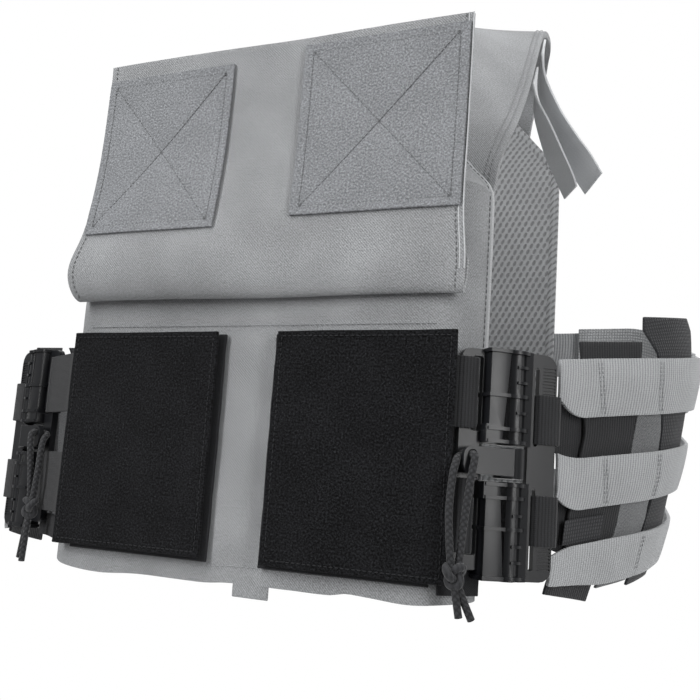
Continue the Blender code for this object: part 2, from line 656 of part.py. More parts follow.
def add_outer_half(side, facts, parent):
    """The half on the cummerbund: a slotted plate and two lengths of ringed tube."""
    sign = facts["sign"]
    name = f"buckle_outer_half_{side}"
    outline = rounded_rect(5 * MM, BAR_OUT[1] * MM, -BUCKLE_HALF_H, BUCKLE_HALF_H, (0, 7 * MM, 8 * MM, 0), 5)
    body = add_object(name, plate_prism(name, sign, outline, -PLATE_T / 2, PLATE_T / 2),
                      "buckle_plastic", parent)
    unions = []
    for k, (low, high) in enumerate(TUBE_SPANS):
        mesh = outline_prism(f"tube_{k}_{side}", sign, circle_outline(TUBE_R), low, high)
        unions.append(hidden_helper(mesh, parent))
    for k, middle in enumerate(RINGS):
        v = middle * MM
        arc = [(RING_R * math.cos(a), RING_R * math.sin(a)) for a in np.radians(np.linspace(-118, 118, 9))]
        mesh = outline_prism(f"ring_{k}_{side}", sign, arc, v - RING_T / 2, v + RING_T / 2)
        unions.append(hidden_helper(mesh, parent))
    for k, middle in enumerate((-49, 45.2)):
        for step in (-2, -1, 0, 1, 2):
            v = (middle + step * 3.0) * MM
            rib = box_outline(17.6 * MM, 25.2 * MM, PLATE_T / 2 - 0.5 * MM, PLATE_T / 2 + 0.7 * MM)
            mesh = outline_prism(f"grip_{k}_{step + 2}_{side}", sign, rib, v - 0.6 * MM, v + 0.6 * MM)
            unions.append(hidden_helper(mesh, parent))
    cuts = []
    for k, (low, high) in enumerate(((10.5 * MM, 52.8 * MM), (-54.9 * MM, -12 * MM))):
        outline = rounded_rect(SLOT_OUT[0] * MM, SLOT_OUT[1] * MM, low, high, (1.5 * MM,) * 4, 3)
        cuts.append(hidden_helper(plate_prism(f"slot_out_{k}_{side}", sign, outline, -9 * MM, 9 * MM), parent))
    opening = box_outline(-10 * MM, 9.4 * MM, -9 * MM, 9 * MM)
    low, high = TUBE_SPANS[1][1], TUBE_SPANS[0][0]
    cuts.append(hidden_helper(outline_prism(f"knuckle_bay_{side}", sign, opening, low, high), parent))
    combine(body, unions, "UNION")
    combine(body, cuts, "DIFFERENCE")


HOLE_U = -26.0 * MM
HOLE_V = 3.2 * MM
HOLE_R = 2.7 * MM
TONGUE_W = (6.8 * MM, 9.8 * MM)


def add_pull_tab(side, facts, parent):
    """The release tab: a barrel in line with the tube and a flat tongue with the cord's hole."""
    sign = facts["sign"]
    name = f"buckle_pull_tab_{side}"
    low, high = TAB_SPAN
    tongue = rounded_rect(-31 * MM, -2 * MM, low + 1.2 * MM, high - 0.6 * MM, (4 * MM, 0, 0, 4 * MM), 4)
    body = add_object(name, plate_prism(name, sign, tongue, TONGUE_W[0], TONGUE_W[1]), "buckle_plastic", parent)
    barrel = outline_prism(f"barrel_{side}", sign, circle_outline(8.4 * MM, 18), low, high)
    combine(body, [hidden_helper(barrel, parent)], "UNION")
    bm = bmesh.new()
    bmesh.ops.create_cone(bm, cap_ends=True, segments=12, radius1=HOLE_R, radius2=HOLE_R, depth=20 * MM)
    bmesh.ops.rotate(bm, verts=bm.verts, cent=(0, 0, 0),
                     matrix=Vector((0, 0, 1)).rotation_difference(Vector((0, 1, 0))).to_matrix())
    bmesh.ops.translate(bm, verts=bm.verts, vec=(sign * HOLE_U, -5 * MM, HOLE_V))
    combine(body, [hidden_helper(finish_mesh(bm, f"cord_hole_{side}"), parent)], "DIFFERENCE")


# The pull cord in the buckle's own (u, w, v), in millimetres; v is a share of the way down to the knot
FRONT_STRAND = [(-26.0, 8.5, 3.2, 0), (-26.0, 10.4, 3.2, 0), (-26.1, 12.2, 2.4, 0), (-26.5, 13.1, -0.2, 0),
                (-28.0, 13.2, -9.0, 0), (-29.8, 12.2, 0.0, 0.45), (-31.6, 11.2, 0.0, 1.0)]
REAR_STRAND = [(-26.0, 8.2, 3.2, 0), (-26.0, 7.0, 3.2, 0), (-26.5, 5.4, 3.1, 0), (-28.0, 4.5, 2.9, 0),
               (-31.8, 4.6, 1.6, 0), (-34.3, 7.7, -1.4, 0), (-36.8, 9.9, -9.0, 0), (-38.2, 11.0, 0.0, 0.45),
               (-36.2, 11.2, 0.0, 1.0)]
KNOT_TOP = 6.5 * MM


def strand_points(table, facts):
    """The strand's route, from the tab's hole down to just above the knot."""
    end_v = facts["knot_v"] + KNOT_TOP
    points = []
    for u, w, v, share in table:
        down = v * MM if share == 0 else -8 * MM + (end_v + 8 * MM) * share
        points.append((u * MM, w * MM, down))
    return smooth_line(points, 2)


def add_tube(name, points, sign, radius, parent):
    curve = bpy.data.curves.new(name, "CURVE")
    curve.dimensions = "3D"
    curve.bevel_depth = radius
    curve.bevel_resolution = 2
    curve.use_fill_caps = True
    spline = curve.splines.new("POLY")
    spline.points.add(len(points) - 1)
    for item, (u, w, v) in zip(spline.points, points):
        item.co = (sign * u, -w, v, 1)
    curve.materials.append(material_of("black_cord"))
    tube = bpy.data.objects.new(name, curve)
    tube.parent = parent
    bpy.context.collection.objects.link(tube)
    return tube


def add_cord(side, facts, parent):
    """Both strands of the pull cord, and the knot with its two tails."""
    sign = facts["sign"]
    for name, table in (("front", FRONT_STRAND), ("rear", REAR_STRAND)):
        add_tube(f"cord_{name}_strand_{side}", strand_points(table, facts), sign, CORD_R, parent)
    name = f"cord_knot_{side}"
    middle = Vector((sign * -33.8 * MM, -11.2 * MM, facts["knot_v"]))
    bm = bmesh.new()
    bmesh.ops.create_icosphere(bm, subdivisions=2, radius=1.0)
    bmesh.ops.scale(bm, verts=bm.verts, vec=(7.4 * MM, 4.6 * MM, 6.2 * MM))
    bmesh.ops.translate(bm, verts=bm.verts, vec=middle)
    knot = add_object(name, finish_mesh(bm, name), "black_cord", parent)
    tails = []
    for k, (du, dv) in enumerate(((3.5, -21.0), (10.5, -22.0))):
        bm = bmesh.new()
        bmesh.ops.create_cone(bm, cap_ends=True, segments=10, radius1=CORD_R, radius2=CORD_R, depth=1.0)
        tip = Vector((sign * (-33.8 + du) * MM, -11.2 * MM, facts["knot_v"] + dv * MM))
        way = tip - middle
        bmesh.ops.scale(bm, verts=bm.verts, vec=(1, 1, way.length))
        bmesh.ops.rotate(bm, verts=bm.verts, cent=(0, 0, 0),
                         matrix=Vector((0, 0, 1)).rotation_difference(way).to_matrix())
        bmesh.ops.translate(bm, verts=bm.verts, vec=(middle + tip) / 2)
        tails.append(hidden_helper(finish_mesh(bm, f"tail_{k}_{side}"), parent))
    combine(knot, tails, "UNION")


def add_shoulder(side, sign, parent):
    table = np.array(SHOULDER) * MM
    lines = smooth_line(table, 1)
    grid = np.zeros((len(lines), 4, 3))
    for i, row in enumerate(lines):
        for j, t in enumerate(np.linspace(0, 1, 4)):
            point = row[:3] * (1 - t) + row[3:] * t
            grid[i, j] = (sign * point[0], point[1], point[2])
    thick_sheet(f"shoulder_strap_{side}", grid, SHOULDER_T, "carrier_cloth", parent)
    for name, tail in (("a", TAIL_A), ("b", TAIL_B)):
        line = smooth_line(np.array(tail), 2)
        grid = np.zeros((len(line), 2, 3))
        for i, place in enumerate(line):
            across = place[3:] / np.linalg.norm(place[3:])
            for j, t in enumerate((-0.5, 0.5)):
                point = place[:3] * MM + across * t * TAIL_W
                grid[i, j] = (sign * point[0], point[1], point[2])
        thick_sheet(f"strap_tail_{name}_{side}", grid, TAIL_T, "carrier_webbing", parent)


def build():
    clear_scene()
    vest = add_empty("vest", location=(0, -REST_Y, -REST_Z))
    leaning = add_empty("leaning_frame", vest, rotation=(-LEAN, 0, 0))
    back_face_d = BACK_INNER_D + MESH_LINING + GAP + BAG_DEPTH
    add_bag("front", FRONT_CUT_H, FRONT_HEM_H, 0.0, 1, leaning, True)
    add_bag("back", BACK_CUT_H, BACK_HEM_H, back_face_d, -1, leaning, False)
    chest = add_empty("chest_pieces", leaning, (FRONT_SHIFT, 0, 0))
    add_front_tab(chest)
    add_flap(chest)
    add_loop_panels(chest)
    add_back_flap(vest)
    for side, facts in SIDES.items():
        x, d = facts["tube"]
        sign = facts["sign"]
        buckle = add_empty(f"buckle_{side}", leaning, (sign * x, d, facts["middle_h"]),
                           (0, 0, sign * facts["turn"]))
        add_inner_half(side, facts, buckle)
        add_outer_half(side, facts, buckle)
        add_pull_tab(side, facts, buckle)
        add_cord(side, facts, buckle)
        add_inner_straps(side, facts, vest)
        add_foot(side, facts, vest)
        wrap = Wrap(facts)
        add_outer_straps(side, facts, wrap, vest)
        add_cummerbund(side, wrap, facts["stay_top"], vest)
        add_shoulder(side, sign, vest)


build()
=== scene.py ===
"""Plate carrier vest: the finished look of a grey tactical vest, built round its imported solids.

Sizes in the code are millimetres in the measuring frame: zero is the bottom edge of the black loop
panels on the front plane, midway between them, +X to the wearer's left, +Y from chest to back, +Z up.
The leaning frame (x, d, h) has d square to the chest and h up along it. The sheared frame (x, y0, z)
is a plan that slides back with height. to_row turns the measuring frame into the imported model's metres.
"""
import math

import bpy
import numpy as np
from bpy.props import FloatProperty, FloatVectorProperty, PointerProperty
from mathutils import Matrix, Vector, noise


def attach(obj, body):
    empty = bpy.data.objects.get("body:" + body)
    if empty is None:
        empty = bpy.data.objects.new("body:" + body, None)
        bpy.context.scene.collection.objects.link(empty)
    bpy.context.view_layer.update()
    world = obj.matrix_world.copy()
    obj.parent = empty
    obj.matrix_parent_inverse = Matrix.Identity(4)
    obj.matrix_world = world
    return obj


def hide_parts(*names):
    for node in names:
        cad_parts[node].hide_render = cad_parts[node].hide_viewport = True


bl_info = {
    "name": "Plate Carrier Vest",
    "version": (1, 0, 0),
    "blender": (4, 5, 0),
    "location": "View3D > Sidebar > Vest",
    "description": "Builds a grey plate carrier with black quick release side buckles",
    "category": "Object",
}

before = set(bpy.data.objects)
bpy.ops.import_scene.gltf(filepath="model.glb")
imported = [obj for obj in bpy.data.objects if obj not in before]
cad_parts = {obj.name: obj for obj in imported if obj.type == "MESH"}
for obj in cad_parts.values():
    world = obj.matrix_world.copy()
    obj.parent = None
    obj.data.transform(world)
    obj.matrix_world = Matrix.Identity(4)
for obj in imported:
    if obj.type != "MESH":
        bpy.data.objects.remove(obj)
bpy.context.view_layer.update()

LEAN = math.radians(9.6)
CHEST_SHIFT = 4.2
# The measuring frame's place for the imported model's zero, under the shoulder straps
SHOULDER_REST = np.array([0.0, 232.0, 357.0])
TAU = 2 * math.pi
SIDES = ("left", "right")
SIGN = {"left": 1, "right": -1}
FORWARD = np.array([0.0, -math.cos(LEAN), math.sin(LEAN)])
BACKWARD = np.array((0.0, 1.0, -0.17))


def to_row(points):
    """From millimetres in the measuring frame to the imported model's metres."""
    return (np.asarray(points, float) - SHOULDER_REST) / 1000


def lean(points):
    """From the leaning frame to the measuring frame."""
    p = np.asarray(points, float)
    c, s = math.cos(LEAN), math.sin(LEAN)
    return np.stack([p[..., 0], p[..., 1] * c + p[..., 2] * s, p[..., 2] * c - p[..., 1] * s], axis=-1)


def sheared(points):
    """From the sheared plan to the measuring frame."""
    p = np.asarray(points, float)
    return np.stack([p[..., 0], p[..., 1] + p[..., 2] * math.tan(LEAN), p[..., 2]], axis=-1)


def chest(points):
    """From the frame of the pieces on the chest, which sit a little to the wearer's left."""
    return lean(np.asarray(points, float) + (CHEST_SHIFT, 0.0, 0.0))


def smooth_line(points, per_span=6):
    """Catmull-Rom curve through the points, per_span steps between each two."""
    p = np.array(points, float)
    p = np.vstack([2 * p[0] - p[1], p, 2 * p[-1] - p[-2]])
    steps = np.linspace(0, 1, per_span, endpoint=False)[:, None]
    out = []
    for a, b, c, d in zip(p, p[1:], p[2:], p[3:]):
        out.append(0.5 * (2 * b + (c - a) * steps + (2 * a - 5 * b + 4 * c - d) * steps**2
                          + (3 * b - 3 * c + d - a) * steps**3))
    out.append(p[-2][None])
    return np.vstack(out)


def distances(line):
    """How far along the polyline each of its points is."""
    return np.concatenate([[0], np.cumsum(np.linalg.norm(np.diff(line, axis=0), axis=1))])


def resample(line, at):
    """Points of a polyline at the given distances along it."""
    along = distances(line)
    return np.stack([np.interp(at, along, line[:, k]) for k in range(line.shape[1])], axis=-1)


def evenly(line, count):
    """That many points, equally far apart along a polyline."""
    return resample(line, np.linspace(0, distances(line)[-1], count))


def with_borders(count, border):
    """Shares from 0 to 1 with one extra step close to each end."""
    inside = np.linspace(border, 1 - border, count)
    return np.concatenate([[0.0], inside, [1.0]])


def ease(low, high, value):
    """Rises smoothly from 0 at low to 1 at high, and stays there."""
    t = np.clip((value - low) / (high - low), 0, 1)
    return t * t * (3 - 2 * t)


def ripple(x, y, scale, seed=0.0):
    """Smooth seeded unevenness between about -1 and 1, for points in millimetres."""
    return noise.noise(Vector((x / scale, y / scale, seed * 7.31)))


# Materials

class Signal:
    """A node's output, so that shader maths reads as ordinary sums."""

    def __init__(self, shader, socket):
        self.shader = shader
        self.socket = socket

    def maths(self, operation, first, second):
        return self.shader.node("ShaderNodeMath", {"operation": operation}, {0: first, 1: second})

    def __add__(self, other):
        return self.maths("ADD", self, other)

    def __radd__(self, other):
        return self.maths("ADD", other, self)

    def __sub__(self, other):
        return self.maths("SUBTRACT", self, other)

    def __rsub__(self, other):
        return self.maths("SUBTRACT", other, self)

    def __mul__(self, other):
        return self.maths("MULTIPLY", self, other)

    def __rmul__(self, other):
        return self.maths("MULTIPLY", other, self)

    def __truediv__(self, other):
        return self.maths("DIVIDE", self, other)

    def __rtruediv__(self, other):
        return self.maths("DIVIDE", other, self)

    def __pow__(self, other):
        return self.maths("POWER", self, other)

    def __mod__(self, other):
        return self.maths("FLOORED_MODULO", self, other)

    def __abs__(self):
        return self.shader.node("ShaderNodeMath", {"operation": "ABSOLUTE"}, {0: self})

    def sine(self):
        return self.shader.node("ShaderNodeMath", {"operation": "SINE"}, {0: self})

    def floor(self):
        return self.shader.node("ShaderNodeMath", {"operation": "FLOOR"}, {0: self})

    def limited(self, low=0.0, high=1.0):
        """This signal spread from low..high to 0..1, and held inside it."""
        return self.shader.node("ShaderNodeMapRange", {"clamp": True},
                                {"Value": self, "From Min": low, "From Max": high})


class Shader:
    """A Principled material made from node expressions."""

    def __init__(self, name, roughness, sheen=0.0, specular=0.5):
        self.material = bpy.data.materials.new(name)
        self.material.use_nodes = True
        self.tree = self.material.node_tree
        self.surface = self.tree.nodes["Principled BSDF"]
        self.surface.inputs["Roughness"].default_value = roughness
        self.surface.inputs["Sheen Weight"].default_value = sheen
        self.surface.inputs["Sheen Roughness"].default_value = 0.5
        self.surface.inputs["Specular IOR Level"].default_value = specular

    def feed(self, socket, value):
        """Links a signal to the socket, or sets its value."""
        if isinstance(value, Signal):
            self.tree.links.new(value.socket, socket)
        else:
            socket.default_value = value

    def node(self, kind, settings=None, inputs=None, output=0):
        """A node of that kind, with its settings, then the values or links of its sockets."""
        node = self.tree.nodes.new(kind)
        for key, value in (settings or {}).items():
            setattr(node, key, value)
        for key, value in (inputs or {}).items():
            self.feed(node.inputs[key], value)
        return Signal(self, node.outputs[output])

    def cloth_place(self):
        """The piece's own UV map, in millimetres along and across the cloth."""
        return self.node("ShaderNodeUVMap", {"uv_map": "cloth"})

    def object_place(self):
        return self.node("ShaderNodeTexCoord", output="Object")

    def split(self, vector):
        return [self.node("ShaderNodeSeparateXYZ", {}, {0: vector}, k) for k in range(2)]

    def cloud(self, place, scale, detail=2.0, roughness=0.5):
        return self.node("ShaderNodeTexNoise", {"noise_dimensions": "3D"},
                         {"Vector": place, "Scale": scale, "Detail": detail, "Roughness": roughness})

    def blend(self, share, first, second):
        """A colour between two, by a share from 0 to 1."""
        return self.node("ShaderNodeMix", {"data_type": "RGBA"}, {0: share, 6: first, 7: second}, 2)

    def finish(self, colour, height=None, bump=0.4, depth=0.0003, roughness=None):
        """Feeds the surface its colour, and its roughness and bump where they vary."""
        self.feed(self.surface.inputs["Base Color"], colour)
        if roughness is not None:
            self.feed(self.surface.inputs["Roughness"], roughness)
        if height is not None:
            normal = self.node("ShaderNodeBump", {}, {"Strength": bump, "Distance": depth, "Height": height})
            self.feed(self.surface.inputs["Normal"], normal)
        return self.material


def shade(colour, factor):
    """The colour made lighter or darker by a factor, with an alpha of 1."""
    return tuple(min(1.0, c * factor) for c in colour[:3]) + (1.0,)


def twill_cloth(name, colour, pitch=1.65, contrast=1.0):
    """Coated pack cloth with a fine diagonal twill and a speckled yarn."""
    s = Shader(name, 0.86, sheen=0.05, specular=0.25)
    place = s.cloth_place()
    u, v = s.split(place)
    diagonal = ((u + v) * (TAU / pitch)).sine() * 0.5 + 0.5
    across = ((u - v * 1.3) * (TAU / (pitch * 0.62))).sine() * 0.5 + 0.5
    grain = s.cloud(place, 0.95, 3.0, 0.6)
    broad = s.cloud(place, 0.022, 3.0)
    twill = diagonal * 0.38 + across * 0.2
    tone = (twill * contrast + grain * 1.9 + broad * 0.7 - 1.17).limited()
    colour_out = s.blend(tone, shade(colour, 0.56), shade(colour, 1.44))
    return s.finish(colour_out, diagonal * 0.7 + across * 0.4 + grain * 1.4, 0.55, 0.0003)


def webbing_cloth(name, colour, pitch=1.2, bump=0.55, spread=1.0, grid=False):
    """Woven strap with ribs across its length, or a square grid weave."""
    s = Shader(name, 0.8, sheen=0.1, specular=0.35)
    place = s.cloth_place()
    u, v = s.split(place)
    rib = abs((u * (math.pi / pitch)).sine())
    pick = abs((v * (math.pi / (pitch if grid else 0.55 * pitch))).sine())
    grain = s.cloud(place, 1.1, 2.0)
    broad = s.cloud(place, 0.045, 3.0)
    weave = rib * pick if grid else rib * 0.8 + pick * 0.2
    tone = (weave * 0.75 + grain * 0.7 + broad * 0.4 - 0.5).limited()
    colour_out = s.blend(tone, shade(colour, 1 - 0.5 * spread), shade(colour, 1 + 0.4 * spread))
    return s.finish(colour_out, weave + grain * 0.3, bump, 0.00035)


def loop_pile(name, colour, lint, clump, rows, depth, lint_share, dark, light):
    """The soft loops of a touch fastener, with a little lint on it."""
    s = Shader(name, 0.95, sheen=0.04, specular=0.08)
    place = s.cloth_place()
    u, v = s.split(place)
    loops = s.cloud(place, clump, 4.0, 0.7)
    broad = s.cloud(place, 0.035, 3.0)
    fine = s.cloud(place, 1.5, 2.0)
    lines = ((v * TAU / 2.1 + (u * TAU / 3.1 + loops * 8.0).sine() * 1.6).sine() * 0.5 + 0.5) * rows
    tone = (loops * 3.6 + broad * 0.5 + lines * 0.16 - 1.72).limited()
    base = s.blend(tone, shade(colour, dark), shade(colour, light))
    fluff = (fine * loops).limited(lint_share * 0.62, lint_share)
    return s.finish(s.blend(fluff, base, (*lint[:3], 1.0)), loops + fine * 0.4 + lines * 0.2, 0.8, depth)


def spacer_mesh(name, colour):
    """Knitted spacer mesh: staggered upright holes between soft ridges, the holes painted darker as painted
    shade.
    """
    s = Shader(name, 0.9, sheen=0.15, specular=0.2)
    place = s.cloth_place()
    u, v = s.split(place)
    wide, tall = 4.9, 4.4
    row = (v / tall).floor()
    up = ((v / tall) % 1 - 0.5) * tall
    across = ((u / wide + (row % 2) * 0.5) % 1 - 0.5) * wide + up * 0.32
    away = ((across / 1.15) ** 2 + (up / 2.1) ** 2) ** 0.5
    solid = away.limited(0.62, 1.25)
    grain = s.cloud(place, 1.3, 2.0)
    broad = s.cloud(place, 0.03, 2.0)
    lit = s.blend((grain * 0.5 + broad * 0.7 - 0.1).limited(), shade(colour, 0.8), shade(colour, 1.25))
    # The holes take a darker copy of the colour: painted shade in the cells; the ridges keep their own uneven
    # tone.
    return s.finish(s.blend(solid, shade(colour, 0.6), lit), solid + grain * 0.25, 0.8, 0.0009)


def moulded_plastic(name, colour):
    """Smooth black plastic, a little uneven in its sheen."""
    s = Shader(name, 0.34, specular=0.3)
    place = s.object_place()
    grain = s.cloud(place, 2600.0, 2.0)
    broad = s.cloud(place, 60.0, 3.0)
    colour_out = s.blend((broad * 0.9 + grain * 0.1).limited(), shade(colour, 0.8), shade(colour, 1.25))
    rough = broad * 0.12 + grain * 0.1 + 0.2
    return s.finish(colour_out, grain, 0.1, 0.00005, rough)


def braided_cord(name, colour):
    """Cord with two sets of strands braided round it."""
    s = Shader(name, 0.78, sheen=0.15, specular=0.3)
    place = s.cloth_place()
    u, v = s.split(place)
    one = abs(((u / 3.15 + v / 3.4) * math.pi).sine())
    two = abs(((u / 3.15 - v / 3.4) * math.pi).sine())
    weave = one * two
    grain = s.cloud(place, 1.2, 2.0)
    tone = (weave * 0.9 + grain * 0.3 - 0.1).limited()
    return s.finish(s.blend(tone, shade(colour, 0.45), shade(colour, 1.9)), weave + grain * 0.2, 0.8, 0.0005)


def knot_cord(name, colour):
    """The same cord where it is knotted, without a UV map to follow."""
    s = Shader(name, 0.78, sheen=0.15, specular=0.3)
    place = s.object_place()
    u, v = s.split(place)
    one = abs(((u * 900 + v * 1300)).sine())
    grain = s.cloud(place, 1400.0, 2.0)
    tone = (one * 0.5 + grain * 0.7 - 0.1).limited()
    return s.finish(s.blend(tone, shade(colour, 0.45), shade(colour, 1.9)), one + grain * 0.5, 0.6, 0.0004)


def sewing_thread(name, colour):
    """Matt thread, lighter and darker from stitch to stitch."""
    s = Shader(name, 0.7, specular=0.3)
    grain = s.cloud(s.object_place(), 3000.0, 1.0)
    return s.finish(s.blend(grain, shade(colour, 0.75), shade(colour, 1.25)), grain, 0.2, 0.0001)


def floor_paint(name):
    """The studio floor's off-white."""
    s = Shader(name, 0.9, specular=0.1)
    grain = s.cloud(s.object_place(), 4.0, 3.0)
    return s.finish(s.blend(grain, (0.86, 0.86, 0.86, 1), (0.9, 0.9, 0.9, 1)))


MATERIALS = {}


def material(name):
    """The named finish, made the first time it is asked for."""
    look = bpy.context.scene.vest_look
    grey, webbing, pile, mesh = look.cloth_colour, look.webbing_colour, look.pile_colour, look.mesh_colour
    black, plastic = look.black_colour, look.plastic_colour
    makers = {
        "carrier_cloth": lambda: twill_cloth("carrier_cloth", grey),
        "carrier_lining_cloth": lambda: twill_cloth("carrier_lining_cloth", shade(grey, 0.7), 1.4, 0.5),
        "carrier_binding": lambda: webbing_cloth("carrier_binding", shade(webbing, 1.1), 0.9, 0.3, 0.5),
        "carrier_webbing": lambda: webbing_cloth("carrier_webbing", webbing, 2.1, 0.9, 0.9),
        # The loose strap ends' webbing is the webbing painted lighter: painted light, making up for their
        # facing away from the lamps.
        "tail_webbing_painted_light": lambda: webbing_cloth("tail_webbing_painted_light", shade(webbing, 1.5), 0.9, 0.2, 0.4),
        "frayed_band": lambda: webbing_cloth("frayed_band", shade(webbing, 1.12), 2.1, 0.8, 0.7, True),
        "spacer_mesh": lambda: spacer_mesh("spacer_mesh", mesh),
        "flap_loop": lambda: loop_pile("flap_loop", pile, shade(pile, 1.7), 0.8, 1.0, 0.0005, 0.5, 0.6, 1.3),
        "black_loop": lambda: loop_pile("black_loop", black, (0.085, 0.09, 0.1), 0.85, 0.0, 0.0009, 0.6,
                                        0.08, 2.0),
        "black_webbing": lambda: webbing_cloth("black_webbing", shade(black, 1.4), 1.9, 0.9, 1.5),
        "black_grid": lambda: webbing_cloth("black_grid", shade(black, 2.6), 2.1, 1.0, 1.0, True),
        "black_cloth": lambda: twill_cloth("black_cloth", shade(black, 1.5), 1.2, 1.0),
        "buckle_plastic": lambda: moulded_plastic("buckle_plastic", plastic),
        "black_cord": lambda: braided_cord("black_cord", shade(black, 1.6)),
        "knot_cord": lambda: knot_cord("knot_cord", shade(black, 1.6)),
        "grey_thread": lambda: sewing_thread("grey_thread", shade(webbing, 0.8)),
        "pale_thread": lambda: sewing_thread("pale_thread", shade(webbing, 1.35)),
        "black_thread": lambda: sewing_thread("black_thread", shade(black, 1.4)),
        "dark_thread": lambda: sewing_thread("dark_thread", shade(grey, 0.42)),
        "floor": lambda: floor_paint("floor"),
    }
    if name not in MATERIALS:
        MATERIALS[name] = makers[name]()
    return MATERIALS[name]


# Piece makers

def deselect():
    """Leaves edit mode with nothing selected."""
    if bpy.context.object and bpy.context.object.mode != "OBJECT":
        bpy.ops.object.mode_set(mode="OBJECT")
    bpy.ops.object.select_all(action="DESELECT")


def take(piece):
    """Makes the piece the only one selected, and the active one."""
    deselect()
    piece.select_set(True)
    bpy.context.view_layer.objects.active = piece


def apply_modifier(piece, kind, **settings):
    """Adds a modifier as by hand and applies it at once."""
    take(piece)
    modifier = piece.modifiers.new(kind.lower(), kind)
    for key, value in settings.items():
        setattr(modifier, key, value)
    bpy.ops.object.modifier_apply(modifier=modifier.name)


def smooth(piece, angle=40):
    """Shades the piece smooth, with edges sharper than the angle kept hard."""
    take(piece)
    bpy.ops.object.shade_smooth_by_angle(angle=math.radians(angle))


def outward(piece):
    """Turns every face of a closed piece to point outwards."""
    take(piece)
    bpy.ops.object.mode_set(mode="EDIT")
    bpy.ops.mesh.select_all(action="SELECT")
    bpy.ops.mesh.normals_make_consistent(inside=False)
    bpy.ops.object.mode_set(mode="OBJECT")


def dress(piece, look, *nodes):
    """Gives the piece its finish and its body, and hides the solids it stands for."""
    piece.data.materials.clear()
    piece.data.materials.append(material(look))
    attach(piece, "root")
    if nodes:
        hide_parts(*nodes)
    return piece


def grid_piece(name, points):
    """A grid primitive laid out to rows by columns of points, with a UV map in millimetres."""
    deselect()
    rows, cols = points.shape[:2]
    bpy.ops.mesh.primitive_grid_add(x_subdivisions=cols - 1, y_subdivisions=rows - 1, size=1)
    piece = bpy.context.object
    piece.name = name
    mesh = piece.data
    mesh.name = name
    mesh.vertices.foreach_set("co", to_row(points).reshape(-1))
    along = np.concatenate([np.zeros((rows, 1)), np.cumsum(
        np.linalg.norm(np.diff(points, axis=1), axis=2), axis=1)], axis=1)
    up = np.concatenate([np.zeros((1, cols)), np.cumsum(
        np.linalg.norm(np.diff(points, axis=0), axis=2), axis=0)], axis=0)
    along = along - along[:, cols // 2:cols // 2 + 1]
    up = up - up[rows // 2:rows // 2 + 1]
    place = np.stack([along, up], axis=-1).reshape(-1, 2)
    corners = np.empty(len(mesh.loops), int)
    mesh.loops.foreach_get("vertex_index", corners)
    uv = mesh.uv_layers[0] if mesh.uv_layers else mesh.uv_layers.new()
    uv.name = "cloth"
    uv.data.foreach_set("uv", place[corners].astype(np.float32).reshape(-1))
    mesh.update()
    return piece


def cloth_piece(name, points, thickness, look, nodes=(), offset=0.0, bevel=0.3):
    """A grid of points given a wall, with its cut edges rounded a little."""
    piece = grid_piece(name, points)
    apply_modifier(piece, "SOLIDIFY", thickness=thickness / 1000, offset=offset, use_even_offset=True)
    if bevel:
        apply_modifier(piece, "BEVEL", width=thickness * bevel / 1000, segments=2, limit_method="ANGLE",
                       angle_limit=math.radians(55))
    if offset == 0.0:
        outward(piece)
    smooth(piece)
    return dress(piece, look, *nodes)


def padded_piece(name, points, thickness, look, nodes, sewn, cap=1.8):
    """A padded strap: two skins held along their sewn columns and blown up a little as cloth."""
    piece = grid_piece(name, points)
    apply_modifier(piece, "SOLIDIFY", thickness=thickness / 1000, offset=0.0, use_even_offset=True)
    outward(piece)
    mesh, cols = piece.data, points.shape[1]
    before = np.empty(len(mesh.vertices) * 3)
    mesh.vertices.foreach_get("co", before)
    held = piece.vertex_groups.new(name="sewn")
    held.add([i for i in range(len(mesh.vertices)) if i % cols in sewn], 1.0, "ADD")
    take(piece)
    puff = piece.modifiers.new("puff", "CLOTH")
    puff.settings.quality = 5
    puff.settings.mass = 0.2
    puff.settings.bending_stiffness = 0.4
    puff.settings.vertex_group_mass = "sewn"
    puff.settings.use_pressure = True
    puff.settings.uniform_pressure_force = 4.0
    puff.settings.effector_weights.gravity = 0.0
    for step in range(1, 21):
        bpy.context.scene.frame_set(step)
    bpy.ops.object.modifier_apply(modifier=puff.name)
    bpy.context.scene.frame_set(1)
    after = np.empty(len(mesh.vertices) * 3)
    mesh.vertices.foreach_get("co", after)
    move = (after - before).reshape(-1, 3)
    size = np.linalg.norm(move, axis=1, keepdims=True)
    limit = cap / 1000
    move = move * np.minimum(1.0, limit * np.tanh(size / limit) / np.maximum(size, 1e-9))
    mesh.vertices.foreach_set("co", before + move.reshape(-1))
    mesh.update()
    apply_modifier(piece, "BEVEL", width=thickness * 0.4 / 1000, segments=3, limit_method="ANGLE",
                   angle_limit=math.radians(55))
    smooth(piece, 60)
    return dress(piece, look, *nodes)


def ruled(first, second, shares):
    """Rows between two lines of points, at the given shares of the way across."""
    return np.stack([first * (1 - t) + second * t for t in shares])


def surface_normals(points):
    """A unit normal at each point of a grid."""
    across = np.gradient(points, axis=1)
    along = np.gradient(points, axis=0)
    normal = np.cross(across, along)
    return normal / np.maximum(np.linalg.norm(normal, axis=-1, keepdims=True), 1e-9)


